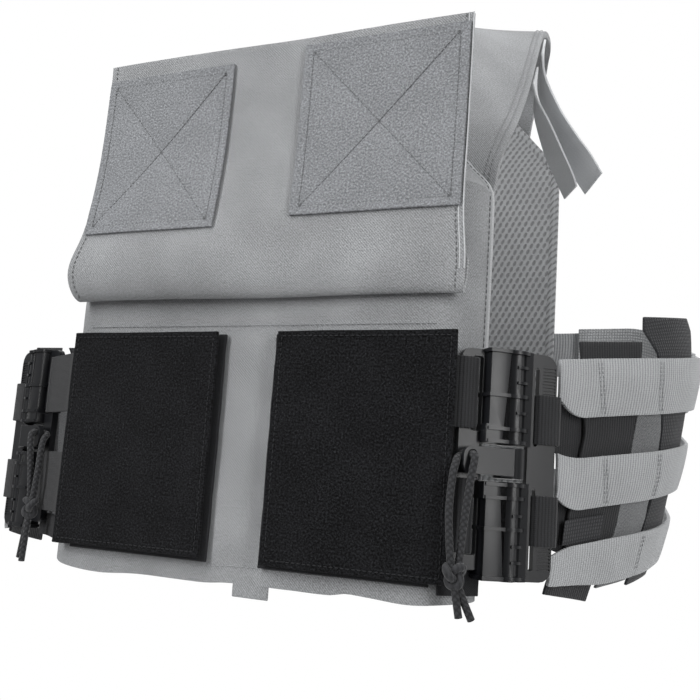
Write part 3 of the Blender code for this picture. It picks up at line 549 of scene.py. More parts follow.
def stitch_row(name, lines, look, pitch=3.2, length=2.2, width=None, raised=0.25):
    """Rows of sewn stitches along lines of points, each line with the direction it is raised in."""
    width = width or bpy.context.scene.vest_sizes.stitch_width * 1000
    verts, faces = [], []
    for line, up in lines:
        line = np.asarray(line, float)
        total = distances(line)[-1]
        count = max(1, int(total / pitch))
        starts = (np.arange(count) + 0.5) * total / count
        mids = resample(line, starts)
        after, before = np.minimum(starts + 0.4, total), np.maximum(starts - 0.4, 0)
        ahead = resample(line, after) - resample(line, before)
        ups = np.broadcast_to(up, mids.shape) if np.ndim(up) == 1 else resample_like(up, line, starts)
        for mid, way, rise in zip(mids, ahead, ups):
            way = way / max(np.linalg.norm(way), 1e-9)
            rise = rise - way * np.dot(rise, way)
            rise = rise / max(np.linalg.norm(rise), 1e-9)
            side = np.cross(way, rise)
            base = len(verts)
            for t, size in ((-0.5, 0.35), (-0.28, 1.0), (0.28, 1.0), (0.5, 0.35)):
                centre = mid + way * t * length + rise * (raised * (0.2 if size < 1 else 1.0))
                for a in range(6):
                    turn = TAU * a / 6
                    verts.append(centre + (side * math.cos(turn) + rise * math.sin(turn)) * width / 2 * size)
            for ring in range(3):
                for a in range(6):
                    b = (a + 1) % 6
                    faces.append((base + ring * 6 + a, base + ring * 6 + b,
                                  base + ring * 6 + 6 + b, base + ring * 6 + 6 + a))
            faces.append(tuple(base + a for a in range(6))[::-1])
            faces.append(tuple(base + 18 + a for a in range(6)))
    mesh = bpy.data.meshes.new(name)
    mesh.from_pydata([tuple(v) for v in to_row(np.array(verts))], [], faces)
    piece = bpy.data.objects.new(name, mesh)
    bpy.context.collection.objects.link(piece)
    outward(piece)
    smooth(piece, 60)
    return dress(piece, look)


def resample_like(values, line, at):
    """Values kept for each point of a polyline, at the given distances along it."""
    along = distances(line)
    return np.stack([np.interp(at, along, values[:, k]) for k in range(3)], axis=-1)


def tube_piece(name, points, radius, look, sides=12, nodes=()):
    """A tube along points in the measuring frame, with closed ends and a UV map round and along it."""
    points = np.asarray(points, float)
    ahead = np.gradient(points, axis=0)
    ahead /= np.linalg.norm(ahead, axis=1, keepdims=True)
    side = np.cross(ahead[0], (0.3, 0.2, 0.9))
    rings = []
    for centre, way in zip(points, ahead):
        side = side - way * np.dot(side, way)
        side = side / np.linalg.norm(side)
        other = np.cross(way, side)
        turn = np.linspace(0, TAU, sides + 1)[:, None]
        rings.append(centre + radius * (side * np.cos(turn) + other * np.sin(turn)))
    rings = [points[0] + (rings[0] - points[0]) * k for k in (0.02, 0.75)] + rings
    rings += [points[-1] + (rings[-1] - points[-1]) * k for k in (0.75, 0.02)]
    piece = grid_piece(name, np.array(rings))
    take(piece)
    bpy.ops.object.mode_set(mode="EDIT")
    bpy.ops.mesh.select_all(action="SELECT")
    bpy.ops.mesh.remove_doubles(threshold=0.00002)
    bpy.ops.mesh.fill_holes(sides=sides + 2)
    bpy.ops.mesh.select_all(action="SELECT")
    bpy.ops.mesh.normals_make_consistent(inside=False)
    bpy.ops.object.mode_set(mode="OBJECT")
    smooth(piece, 50)
    return dress(piece, look, *nodes)


# The bags

BAG_HALF_W, BAG_TOP_HALF_W, BAG_CUT_H, BAG_DEPTH, BAG_ROUND = 137.0, 66.0, 82.0, 28.0, 19.0
FRONT_CUT_H, BACK_CUT_H, BACK_HEM_H = 218.0, 294.0, 58.0
BACK_RIM_D = 204.9
# The front bag's hem, as (x, height)
FRONT_HEM = smooth_line([
    (-137, -6), (-132, -9.2), (-116, -13.8), (-90, -15.4), (-60, -13.6), (-18, -13.8), (2, -12.3), (35, -12.2),
    (64, -12.2), (75, -10.4), (91, -11.3), (110, -12.2), (128, -10.6), (137, -10)])


def bag_half_width(h, cut_h):
    """Half the bag's width at a height; above cut_h its corners are cut off."""
    share = np.clip((h - cut_h) / BAG_CUT_H, 0, 1)
    return BAG_HALF_W + (BAG_TOP_HALF_W - BAG_HALF_W) * share


def bag_surface(cut_h, hem, creases):
    """The cloth face of a bag in (x, depth from its face, h), rows from the hem to the top."""
    turn = np.linspace(0, math.pi / 2, 10)
    rim = (1 - np.cos(turn)) * BAG_ROUND / BAG_HALF_W
    columns = np.concatenate([rim - 1, np.linspace(rim[-1] - 1, 1 - rim[-1], 60)[1:-1], 1 - rim[::-1]])
    top = cut_h + BAG_CUT_H
    upper = top - (1 - np.cos(turn[::-1])) * BAG_ROUND
    shares = np.concatenate([[0, 0.012], np.linspace(0.03, 1, 44)])
    grid = np.zeros((len(shares) + 18 + len(upper) - 1, len(columns), 3))
    for j, share in enumerate(columns):
        low = hem(share * BAG_HALF_W)
        levels = np.concatenate([low + (cut_h - low) * shares,
                                 np.linspace(cut_h, top - BAG_ROUND, 19)[1:], upper[1:]])
        for i, h in enumerate(levels):
            half_width = float(bag_half_width(h, cut_h))
            slope = math.cos(math.atan2(BAG_HALF_W - BAG_TOP_HALF_W, BAG_CUT_H)) if h > cut_h else 1.0
            x = share * half_width
            side = max(0.0, 1 - (half_width - abs(x)) * slope / BAG_ROUND)
            over = max(0.0, 1 - (top - h) / BAG_ROUND)
            near = min(1.0, math.hypot(side, over))
            depth = BAG_DEPTH * (1 - math.sqrt(1 - near**2))
            grid[i, j] = (x, depth + creases(x, h) * (1 - near), h)
    return grid


def front_hem(x):
    """The height of the front bag's wavy hem."""
    return float(np.interp(x, FRONT_HEM[:, 0], FRONT_HEM[:, 1]))


def front_creases(x, h):
    """Depth added to the front cloth: seams pulled in, soft unevenness, and puckers at the hem."""
    seam = 0.7 * math.exp(-((h - 134.5) / 1.3) ** 2)
    hem = 0.7 * math.exp(-((h - front_hem(x) - 11) / 1.4) ** 2)
    strip = 0.35 * sum(math.exp(-((x - edge) / 1.5) ** 2) for edge in (-14, 14)) * (h < 134)
    soft = 0.7 * ripple(x, h, 46, 1) + 0.25 * ripple(x, h, 13, 2)
    pucker = 0.8 * math.sin(x / 6.5 + 2 * ripple(x, h, 30, 3)) * math.exp(-abs(h - front_hem(x)) / 16)
    return seam + hem + strip - 0.5 * soft + 0.45 * pucker


def back_creases(x, h):
    """Depth added to the back cloth: one seam and soft unevenness."""
    seam = 0.6 * math.exp(-((h - 246) / 1.3) ** 2)
    return seam - 0.6 * ripple(x, h, 52, 4) - 0.2 * ripple(x, h, 14, 5)


def bag_outline(cut_h, hem):
    """The bag's outline in (x, h) from one hem corner over the top to the other."""
    top = cut_h + BAG_CUT_H
    half, top_half = BAG_HALF_W, BAG_TOP_HALF_W
    points = [(-half, hem(-half)), (-half, cut_h * 0.5), (-half, cut_h - 16), (-half + 2, cut_h + 3),
              (-half + 14, cut_h + 17), (-top_half - 12, top - 13), (-top_half + 2, top - 2),
              (-top_half + 16, top), (0, top)]
    points += [(-x, h) for x, h in points[-2::-1]]
    return np.array(points, float)


def lining_grid(cut_h, hem, rim_d, facing):
    """The mesh lining's middle surface, in the leaning frame, slightly crowned towards the wearer."""
    columns = with_borders(40, 0.006) * 2 - 1
    top = cut_h + BAG_CUT_H
    shares = with_borders(56, 0.004)
    grid = np.zeros((len(shares), len(columns), 3))
    for j, share in enumerate(columns):
        low = hem(share * BAG_HALF_W)
        for i, t in enumerate(shares):
            h = low + (top - low) * t
            x = share * float(bag_half_width(h, cut_h))
            crown = 0.5 * (1 - share**2) + 0.5 * ripple(x, h, 40, 6)
            grid[i, j] = (x, rim_d + facing * (2.1 + crown), h)
    return grid


def edge_tape(name, outline, rim_d, facing, look):
    """Binding tape folded over the bag's rim, in section a flattened half round."""
    line = evenly(smooth_line(outline, 8), 150)
    ahead = np.gradient(line, axis=0)
    ahead /= np.linalg.norm(ahead, axis=1, keepdims=True)
    out = np.stack([-ahead[:, 1], ahead[:, 0]], axis=1)
    section = [(-4.6, -2.2), (-3.0, -2.75), (-0.8, -2.8), (0.5, -1.9), (0.9, 0.0), (0.5, 1.9), (-0.8, 2.8),
               (-3.0, 2.75), (-4.6, 2.2)]
    grid = np.zeros((len(section), len(line), 3))
    for i, (away, deep) in enumerate(section):
        for j, (point, side) in enumerate(zip(line, out)):
            place = point + side * away
            wave = 0.15 * ripple(place[0], place[1], 9, 8)
            grid[i, j] = (place[0], rim_d + facing * (1.4 + deep) + wave, place[1])
    return cloth_piece(name, lean(grid), 0.7, look, bevel=0)


def side_stitches(name, outline, d, look):
    """Stitches round a bag's side, near its rim."""
    line = evenly(smooth_line(outline, 8), 160)
    ahead = np.gradient(line, axis=0)
    ahead /= np.linalg.norm(ahead, axis=1, keepdims=True)
    flat = np.zeros(len(line))
    path = lean(np.stack([line[:, 0], flat + d, line[:, 1]], axis=1))
    rise = lean(np.stack([-ahead[:, 1], flat, ahead[:, 0]], axis=1))
    return stitch_row(name, [(path, rise)], look, 3.4, 2.4, 0.6)


# The flap

FLAP_SECTION = [
    (-1.9, 172), (-2.0, 162), (-3.4, 156), (-7.5, 153.5), (-13.0, 156), (-17.0, 163), (-18.4, 173),
    (-17.2, 186), (-14.0, 203), (-10.0, 224), (-7.0, 248), (-5.6, 275), (-5.2, 300), (-5.6, 313),
]
FLAP_LEFT_X, FLAP_RIGHT_X = -123.0, 127.0
FLAP_FULLNESS = ((-125, -26, 22, 127), (0.9, 0.85, 0.48, 0.34))
FLAP_T, PATCH_T, PATCH_H = 2.6, 1.6, 108.0
# Each loop patch: inner and outer x, and its bottom height
PATCHES = {"left": (23, 126, 199.5), "right": (-122, -26, 194)}


def flap_surface(offset, columns, per_span=6):
    """The flap's middle surface moved outward by offset, as a grid in (x, d, h)."""
    section = smooth_line(FLAP_SECTION, per_span)
    grid = np.zeros((len(section), len(columns), 3))
    for i, (d, h) in enumerate(section):
        roll = math.exp(-((h - 168) / 22) ** 2)
        left, right = FLAP_LEFT_X - 8 * roll, FLAP_RIGHT_X + 3 * roll
        for j, u in enumerate(columns):
            x = left + (right - left) * u
            low = min(1.0, max(0.0, -d / 18))
            sag = 1.0 * math.sin(u * math.pi * 3) * low
            soft = 0.5 * ripple(x, h, 38, 9) * low + 0.15 * ripple(x, h, 12, 10)
            fold = 0.6 * ripple(x, h * 3.0, 60, 11) * math.exp(-((h - 190) / 18) ** 2)
            full = float(np.interp(x, *FLAP_FULLNESS))
            grid[i, j] = (x, -1.9 + (d + 1.9) * full + soft + fold, h + sag)
    return grid + surface_normals(grid) * offset


def flap_grid_patch(offset, x_shares, h_shares, low_x, high_x, low_h, high_h, shape):
    """A patch that follows the flap's front, with shape(a, b) added to its depth."""
    grid = flap_surface(offset, np.linspace(0, 1, 41), 5)
    front = grid[int(np.argmin(grid[:, 20, 1])):]
    patch = np.zeros((len(h_shares), len(x_shares), 3))
    for j, a in enumerate(x_shares):
        x = low_x + (high_x - low_x) * a
        column = np.array([[np.interp(x, row[:, 0], row[:, k]) for k in (1, 2)] for row in front])
        for i, b in enumerate(h_shares):
            h = low_h + (high_h - low_h) * b
            d = np.interp(h, column[:, 1], column[:, 0])
            patch[i, j] = (x, d + shape(a, b), h)
    return patch


# The loop panels

PANEL_IN_X, PANEL_W, PANEL_H, PANEL_T = 20.0, 108.0, 132.0, 2.3
BACKING_T, WEB_T = 1.8, 1.8
PANEL_D = -(0.6 + BACKING_T + WEB_T + 0.6 + PANEL_T / 2)


def panel_grid(sign, d, seed, wavy=0.7):
    """A loop panel whose inner and lower edges are wavy and stand off the cloth a little."""
    shares = with_borders(46, 0.005)
    grid = np.zeros((len(shares), len(shares), 3))
    for i, b in enumerate(shares):
        for j, a in enumerate(shares):
            x, h = PANEL_IN_X + PANEL_W * a, PANEL_H * b
            x += wavy * 0.8 * ripple(h, sign * 50, 17, seed) * (1 - a)
            x += 0.35 * ripple(h, sign, 23, seed + 1) * a
            h += wavy * 0.8 * ripple(x, sign * 80, 19, seed + 2) * (1 - b)
            h += 0.3 * ripple(x, 5, 26, seed) * b
            inner = math.exp(-(x - PANEL_IN_X) / 9)
            bottom = math.exp(-h / 8)
            lift = -1.0 * inner * (0.6 + ripple(h, 3, 21, seed + 3)) - 0.5 * bottom
            soft = 0.3 * ripple(x, h, 24, seed + 4)
            grid[i, j] = (sign * x, d + wavy * lift + soft, h)
    return grid


# The side rows

# Each side's plan of the rows in (x, y0), from the buckle to the back
WRAPS = {
    "left": [(176, 43.4), (188, 63.4), (204, 84.4), (221, 106.4), (234, 130.4), (240.5, 155.4), (239, 179.4),
             (229, 201.5), (209, 220), (182, 232.5), (155, 237.5), (128, 238.6), (100, 238.6), (70, 238.6)],
    "right": [(209, 41.4), (221, 59.4), (231, 81.4), (237, 105.4), (239, 130.4), (236, 156.4), (227, 183.4),
              (209, 209.4), (182, 229.4), (155, 237.4), (128, 238.6), (100, 238.6), (70, 238.6)],
}
WRAP_MAX_X = 240.5
# How far the rows are drawn in below the widest one, as (height, millimetres)
NARROWING = [
    (-25, 28), (-12, 23.5), (10, 17.5), (28, 14), (44, 10), (60, 7), (82, 3.5), (100, 0.5), (115, 0),
]
BACK_RISE, RISE_FROM_S, RISE_TO_S = 18.0, 150.0, 230.0
# Each row: its lower and upper edge, and how much its corners at the buckle are cut
ROWS = {"upper": (82, 115, 12, 0), "middle": (31.6, 60, 9, -4), "lower": (-10.4, 12.4, 2, 3)}
ROW_CUT, ROW_T, STAY_T = 24.0, 2.4, 2.0
LOWER_ROW_START, LOWER_ROW_SAG, LOWER_ROW_LIFT = -4.0, 5.5, 3.0
# Each upright strip: height, and where it starts and ends along the rows
STAY_FRONT = [(-21, -4, 41), (-8, 0, 46), (12, 15.5, 58.5), (28, 16, 62), (72, 26, 65.5), (125, 19, 67)]
STAY_MIDDLE = [(-15, 50, 84), (0, 56, 85), (20, 61.5, 93), (72, 66.5, 92), (100, 68.5, 84), (114, 69, 79)]
STAY_REAR = [(-19, 88, 124), (14, 93, 126), (28, 96.5, 126), (72, 93.5, 126), (100, 86, 125),
             (118, 81, 123.5), (132, 68, 121), (140, 68, 114)]
REAR_BAND = [(80, 129, 268), (118, 129, 268)]
STAY_OFFSET = -(ROW_T / 2 + 0.9 + STAY_T / 2)
STRAP_OFFSET = STAY_OFFSET - STAY_T / 2 - 1.0 - WEB_T / 2
STAY_TOP = {"left": 140.0, "right": 122.0}
# How much the front strip's lower edge rises towards the buckle
FRONT_SLANT = {"left": 11.0, "right": 14.0}
PATCH_STRIP = [(13.5, 10, 46.5), (26.5, 12, 48)]


class Wrap:
    """The cummerbund's surface at one side, by distance from its buckle end and height."""

    def __init__(self, side):
        self.sign = SIGN[side]
        line = smooth_line(WRAPS[side], 8)
        self.length = float(distances(line)[-1])
        self.at = np.linspace(0, self.length, 240)
        self.line = resample(line, self.at)
        tangent = np.gradient(self.line, axis=0)
        tangent /= np.linalg.norm(tangent, axis=1, keepdims=True)
        self.outward = np.stack([tangent[:, 1], -tangent[:, 0]], axis=1)

    def point(self, s, z, offset=0.0):
        """The place at distance s and height z, moved outwards by offset."""
        x, depth = (np.interp(s, self.at, self.line[:, k]) for k in (0, 1))
        out_x, out_y = (np.interp(s, self.at, self.outward[:, k]) for k in (0, 1))
        if s < 0:
            ahead = self.line[1] - self.line[0]
            x, depth = self.line[0] + ahead / np.linalg.norm(ahead) * s
        first = self.line[0, 0]
        heights, drawn_in = np.array(NARROWING, float).T
        share = np.clip((x - first) / (WRAP_MAX_X - first), 0, 1)
        x = x - share * np.interp(z, heights, drawn_in)
        rise = float(ease(RISE_FROM_S, RISE_TO_S, s))
        z = z + BACK_RISE * rise
        return sheared((self.sign * (x + out_x * offset), depth + out_y * offset, z))

    def outward_at(self, s):
        """The way the surface faces at distance s."""
        out = [np.interp(s, self.at, self.outward[:, k]) for k in (0, 1)]
        return np.array([self.sign * out[0], out[1], 0.0])

    def row(self, sizes):
        """A side row, whose corners at the buckle are cut off; the lower one sags away from it."""
        low, high, cut_low, cut_high = sizes
        lower = low < 0
        start = LOWER_ROW_START if lower else 0.0
        along = np.concatenate([[start, start + 0.8], np.linspace(start + 2.5, self.length, 150)])
        shares = with_borders(9, 0.025)
        grid = np.zeros((len(shares), len(along), 3))
        for j, s in enumerate(along):
            near = max(0.0, 1 - (s - start) / ROW_CUT) ** 2
            drop = LOWER_ROW_SAG * float(ease(4, 62, s)) - LOWER_ROW_LIFT if lower else 0.0
            bottom, top = low + cut_low * near - drop, high - cut_high * near
            wave = 0.5 * ripple(s, low, 40, 12)
            for i, t in enumerate(shares):
                z = bottom + (top - bottom) * t + wave
                seam = sum(math.exp(-((s - at) / 1.4) ** 2) for at in self.seams(z))
                soft = 0.3 * ripple(s, z, 16, 13)
                curl = 0.5 * (2 * t - 1) ** 4
                grid[i, j] = self.point(s, z, soft - 0.55 * seam - curl)
        return grid

    def seams(self, z):
        """Where the rows are sewn down, by distance along them; the first seam slants."""
        second = float(np.interp(z, (0, 45, 98), (88, 92, 81)))
        return (second,) if z < 20 else (34.0 + (98 - z) / 6, second)

    def strip(self, table, offset, columns, rows, top=None, soft=0.35, slant=0.0):
        """An upright strip at that offset, up to a top height, its lower edge raised by slant."""
        known = np.array(table, float)
        levels = np.linspace(known[0, 0], min(known[-1, 0], top or 999.0), rows)
        grid = np.zeros((rows, len(columns), 3))
        for i, z in enumerate(levels):
            s_from, s_to = (np.interp(z, known[:, 0], known[:, k]) for k in (1, 2))
            for j, t in enumerate(columns):
                s = s_from + (s_to - s_from) * t
                lift = slant * (1 - t) * float(ease(12, known[0, 0], z))
                grid[i, j] = self.point(s, z + lift, offset + soft * ripple(s, z, 18, 20))
        return grid


# The buckles

# Each buckle's tube: x, d, its turn, and its middle's height
TUBES = {"left": (155.0, 22.0, math.radians(42), 63.9), "right": (183.0, 28.0, math.radians(22), 64.9)}
BAR_IN, SLOT_IN, SLOT_OUT, BAR_OUT = (-31.0, -24.6), (-24.6, -18.6), (12.5, 15.1), (16.4, 26.0)
BUCKLE_HALF_H = 60.6
WRAP_OFF = 3.5
INNER_V = {"upper": 35.9, "lower": -28.0}
OUTER_V = {"upper": 25.0, "lower": -28.8}
INNER_WEB_W, OUTER_WEB_W = 38.0, 26.5
KNOT_V = {"left": -57.4, "right": -45.4}
KNOT_U, KNOT_W, KNOT_TOP = -33.8, 11.2, 6.5
FOOT_V = {"left": (-69.5, -49.5), "right": (-63.5, -49.5)}


def buckle_place(side, points):
    """From the buckle's own (u across, w out of its face, v up) to the measuring frame."""
    x, d, turn, middle = TUBES[side]
    c, s = math.cos(turn), math.sin(turn)
    p = np.asarray(points, float)
    u, w, v = p[..., 0], p[..., 1], p[..., 2]
    return lean(np.stack([SIGN[side] * (x + u * c + w * s), d + u * s - w * c, middle + v], axis=-1))


def prism(outline, low, high, upright=True):
    """A filled outline pulled out along v, or along w when it lies flat, in millimetres."""
    deselect()
    bpy.ops.mesh.primitive_circle_add(vertices=len(outline), radius=1, fill_type="NGON")
    piece = bpy.context.object
    for vertex, (a, b) in zip(piece.data.vertices, outline):
        vertex.co = (a, b, low) if upright else (a, low, b)
    bpy.ops.object.mode_set(mode="EDIT")
    bpy.ops.mesh.select_all(action="SELECT")
    way = (0, 0, high - low) if upright else (0, high - low, 0)
    bpy.ops.mesh.extrude_region_move(TRANSFORM_OT_translate={"value": way})
    bpy.ops.mesh.select_all(action="SELECT")
    bpy.ops.mesh.normals_make_consistent(inside=False)
    bpy.ops.object.mode_set(mode="OBJECT")
    return piece


def joined(base, others, operation="UNION"):
    """Adds or cuts the other shapes, then throws them away."""
    for other in others:
        apply_modifier(base, "BOOLEAN", object=other, operation=operation, solver="EXACT")
        bpy.data.objects.remove(other, do_unlink=True)
    return base


def arc(radius, start, end, steps, centre=(0.0, 0.0)):
    """Points on a circle between two angles in degrees."""
    angles = np.radians(np.linspace(start, end, steps))
    return [(centre[0] + radius * math.cos(a), centre[1] + radius * math.sin(a)) for a in angles]


def rounded_rect(low_a, high_a, low_b, high_b, radii, steps=5):
    """Corner radii in the order low-low, high-low, high-high, low-high."""
    spots = [(low_a, low_b, 180, 1, 1), (high_a, low_b, 270, -1, 1), (high_a, high_b, 0, -1, -1),
             (low_a, high_b, 90, 1, -1)]
    points = []
    for (a, b, start, sa, sb), r in zip(spots, radii):
        points += arc(r, start, start + 90, steps, (a + sa * r, b + sb * r)) if r else [(a, b)]
    return points


def settle(piece, side, name, look, nodes, bevel=0.45, angle=32):
    """Rounds a moulded shape's edges and moves it from its own millimetres to the buckle's place."""
    piece.name = name
    piece.data.name = name
    apply_modifier(piece, "BEVEL", width=bevel, segments=2, limit_method="ANGLE",
                   angle_limit=math.radians(38), use_clamp_overlap=True)
    coords = np.empty(len(piece.data.vertices) * 3)
    piece.data.vertices.foreach_get("co", coords)
    placed = to_row(buckle_place(side, coords.reshape(-1, 3)))
    piece.data.vertices.foreach_set("co", placed.reshape(-1))
    piece.data.update()
    outward(piece)
    smooth(piece, angle)
    apply_modifier(piece, "WEIGHTED_NORMAL", keep_sharp=True, weight=100)
    return dress(piece, look, *nodes)


def buckle_line(side, plan, v):
    """A plan of (u, w) points at one height v of the buckle."""
    return buckle_place(side, [(u, w, v) for u, w in plan])


# The pull cord, in (u, w, v) and a share of the way down to the knot, as in the solids
FRONT_STRAND = [(-26.0, 8.5, 3.2, 0), (-26.0, 10.4, 3.2, 0), (-26.1, 12.2, 2.4, 0), (-26.5, 13.1, -0.2, 0),
                (-28.0, 13.2, -9.0, 0), (-29.8, 12.2, 0.0, 0.45), (-31.6, 11.2, 0.0, 1.0)]
REAR_STRAND = [(-26.0, 8.2, 3.2, 0), (-26.0, 7.0, 3.2, 0), (-26.5, 5.4, 3.1, 0), (-28.0, 4.5, 2.9, 0),
               (-31.8, 4.6, 1.6, 0), (-34.3, 7.7, -1.4, 0), (-36.8, 9.9, -9.0, 0), (-38.2, 11.0, 0.0, 0.45),
               (-36.2, 11.2, 0.0, 1.0)]
# Where each strand's tail ends: its u, and how far below the knot
TAIL_ENDS = {"left": {"front": (-30.3, -21.0), "rear": (-23.3, -22.0)},
             "right": {"front": (-30.5, -35.0), "rear": (-26.5, -33.0)}}


def strand_points(side, table, tail):
    """The strand's route from the tab's hole, through the knot, to the end of its tail."""
    knot = KNOT_V[side]
    end_v = knot + KNOT_TOP
    points = []
    for u, w, v, share in table:
        points.append((u, w, v if share == 0 else -8 + (end_v + 8) * share))
    end_u, end_down = TAIL_ENDS[side][tail]
    points.append((KNOT_U, KNOT_W, knot))
    points.append(((end_u + KNOT_U) / 2 - 0.4, KNOT_W + 0.2, knot + end_down * 0.5))
    points.append((end_u, KNOT_W, knot + end_down))
    return np.array(points)


# The shoulder straps, as (x inner, y inner, z inner, x outer, y outer, z outer)
SHOULDER = [
    (62, 68.3, 193, 132, 68.3, 193), (64, 73.3, 222, 136, 71.6, 211), (66, 79.1, 256, 138, 77.4, 229),
    (66, 86, 288, 139, 92, 244), (66, 98, 313, 139.5, 112, 260), (66, 120, 333, 140, 134, 281),
    (66, 146, 346, 139, 160, 306), (66, 174, 354, 137, 186, 329), (66, 202, 359, 134, 212, 347),
    (66, 232, 361, 131, 240, 357), (66, 262, 358, 128, 265, 357), (66, 284, 350, 122, 284, 350),
    (66, 293.5, 334, 116, 293.5, 334), (66, 293.3, 318, 110, 293.3, 318), (65, 289.6, 296, 106, 289.6, 296),
    (64, 284.2, 264, 104, 284.2, 264),
]
SHOULDER_T = 5.0
TAIL_A = [
    (140.2, 158, 303.5, -0.02, 0.72, 0.69), (140.9, 159, 292, -0.2, 0.72, 0.62),
    (144, 161, 275, -0.58, 0.66, 0.45), (151, 165.5, 252.3, -0.72, 0.61, 0.3),
    (156, 170.5, 238.8, -0.68, 0.7, 0.15), (160.5, 174.5, 226, -0.5, 0.84, -0.2),
]
TAIL_B = [
    (138.6, 191, 333, -0.06, 0.72, 0.64), (140, 184, 312, -0.3, 0.76, 0.5),
    (146.5, 175, 284, -0.68, 0.68, 0.15), (157, 174.5, 262, -0.75, 0.62, -0.1),
    (166, 177, 247, -0.7, 0.62, -0.3), (174.5, 181, 232, -0.58, 0.66, -0.45),
]
TAIL_W = 23.0


def mirrored(points, side):
    """A copy of the left side's points for the given side."""
    points = np.array(points, float)
    points[..., 0] *= SIGN[side]
    return points


def shoulder_grid(side, columns):
    """The shoulder strap's middle surface, from the chest over the shoulder to the back."""
    lines = smooth_line(SHOULDER, 7)
    grid = np.zeros((len(lines), len(columns), 3))
    for j, t in enumerate(columns):
        grid[:, j] = lines[:, :3] * (1 - t) + lines[:, 3:] * t
    return mirrored(grid, side)


# Operators

class VestLook(bpy.types.PropertyGroup):
    """Colours and sizes that can be changed before the vest is built."""
    cloth_colour: FloatVectorProperty(name="Cloth", description="Grey pack cloth", subtype="COLOR",
                                      size=3, min=0, max=1, default=(0.262, 0.268, 0.275))
    webbing_colour: FloatVectorProperty(name="Webbing", description="Grey webbing rows", subtype="COLOR",
                                        size=3, min=0, max=1, default=(0.33, 0.337, 0.345))
    pile_colour: FloatVectorProperty(name="Flap loop", description="Grey loop patches", subtype="COLOR",
                                     size=3, min=0, max=1, default=(0.225, 0.232, 0.243))
    mesh_colour: FloatVectorProperty(name="Mesh", description="Spacer mesh linings", subtype="COLOR",
                                     size=3, min=0, max=1, default=(0.28, 0.286, 0.292))
    black_colour: FloatVectorProperty(name="Black cloth", description="Black loop panels", subtype="COLOR",
                                      size=3, min=0, max=1, default=(0.0105, 0.0108, 0.012))
    plastic_colour: FloatVectorProperty(name="Buckle", description="Moulded buckle plastic", subtype="COLOR",
                                        size=3, min=0, max=1, default=(0.0085, 0.009, 0.0105))


class VestSizes(bpy.types.PropertyGroup):
    """Sizes of the trim, in metres."""
    cord_width: FloatProperty(name="Cord", description="Width of the pull cord", unit="LENGTH",
                              default=0.004, min=0.003, max=0.005)
    stitch_width: FloatProperty(name="Thread", description="Width of the sewing thread", unit="LENGTH",
                                default=0.00055, min=0.0003, max=0.001)


CAMERA_PLACE, CAMERA_TURN, CAMERA_LENS = (276.6, -438.7, 120.2), math.radians(24.5), 46.29
FLOOR_HEIGHT, FLOOR_WIDTH = -1.3, 2.6
# Each light: name, place, what it faces, power, width, height
LIGHTS = (("key", (-1.1, -1.7, 1.0), (0, 0, -0.25), 46.0, 0.5, 1.8),
          ("fill", (1.9, -1.1, 0.4), (0.05, 0, -0.25), 27.0, 0.5, 1.6),
          ("top", (0.1, -0.5, 1.7), (0, 0, -0.2), 20.0, 1.4, 1.0),
          ("rear", (0.6, 1.6, 0.8), (0, 0, -0.2), 20.0, 1.4, 1.4))


class VEST_OT_cords(bpy.types.Operator):
    """Pull cords of both buckles, with their knots"""
    bl_idname = "vest.cords"
    bl_label = "Pull cords"

    def execute(self, context):
        width = context.scene.vest_sizes.cord_width
        for side in SIDES:
            knot = self.knot(side, width * 500)
            for which, table in (("front", FRONT_STRAND), ("rear", REAR_STRAND)):
                route = buckle_place(side, smooth_line(strand_points(side, table, which), 5))
                name = f"pull_cord_{which}_{side}"
                cord = tube_piece(name, route, width * 500, "black_cord", 14,
                                  (f"cord_{which}_strand_{side}",))
        return {"FINISHED"}

    def knot(self, side, radius):
        """An overhand knot: a tight trefoil of cord, turned to lie across the strands."""
        turn = np.linspace(0, TAU, 97)
        line = np.stack([(np.sin(turn) + 2 * np.sin(2 * turn)) * 1.75, -np.sin(3 * turn) * 2.3,
                         (np.cos(turn) - 2 * np.cos(2 * turn)) * 1.95], axis=1)
        line += (KNOT_U, KNOT_W, KNOT_V[side])
        return tube_piece(f"pull_cord_knot_{side}", buckle_place(side, line), radius * 1.06, "knot_cord",
                          12, (f"cord_knot_{side}",))


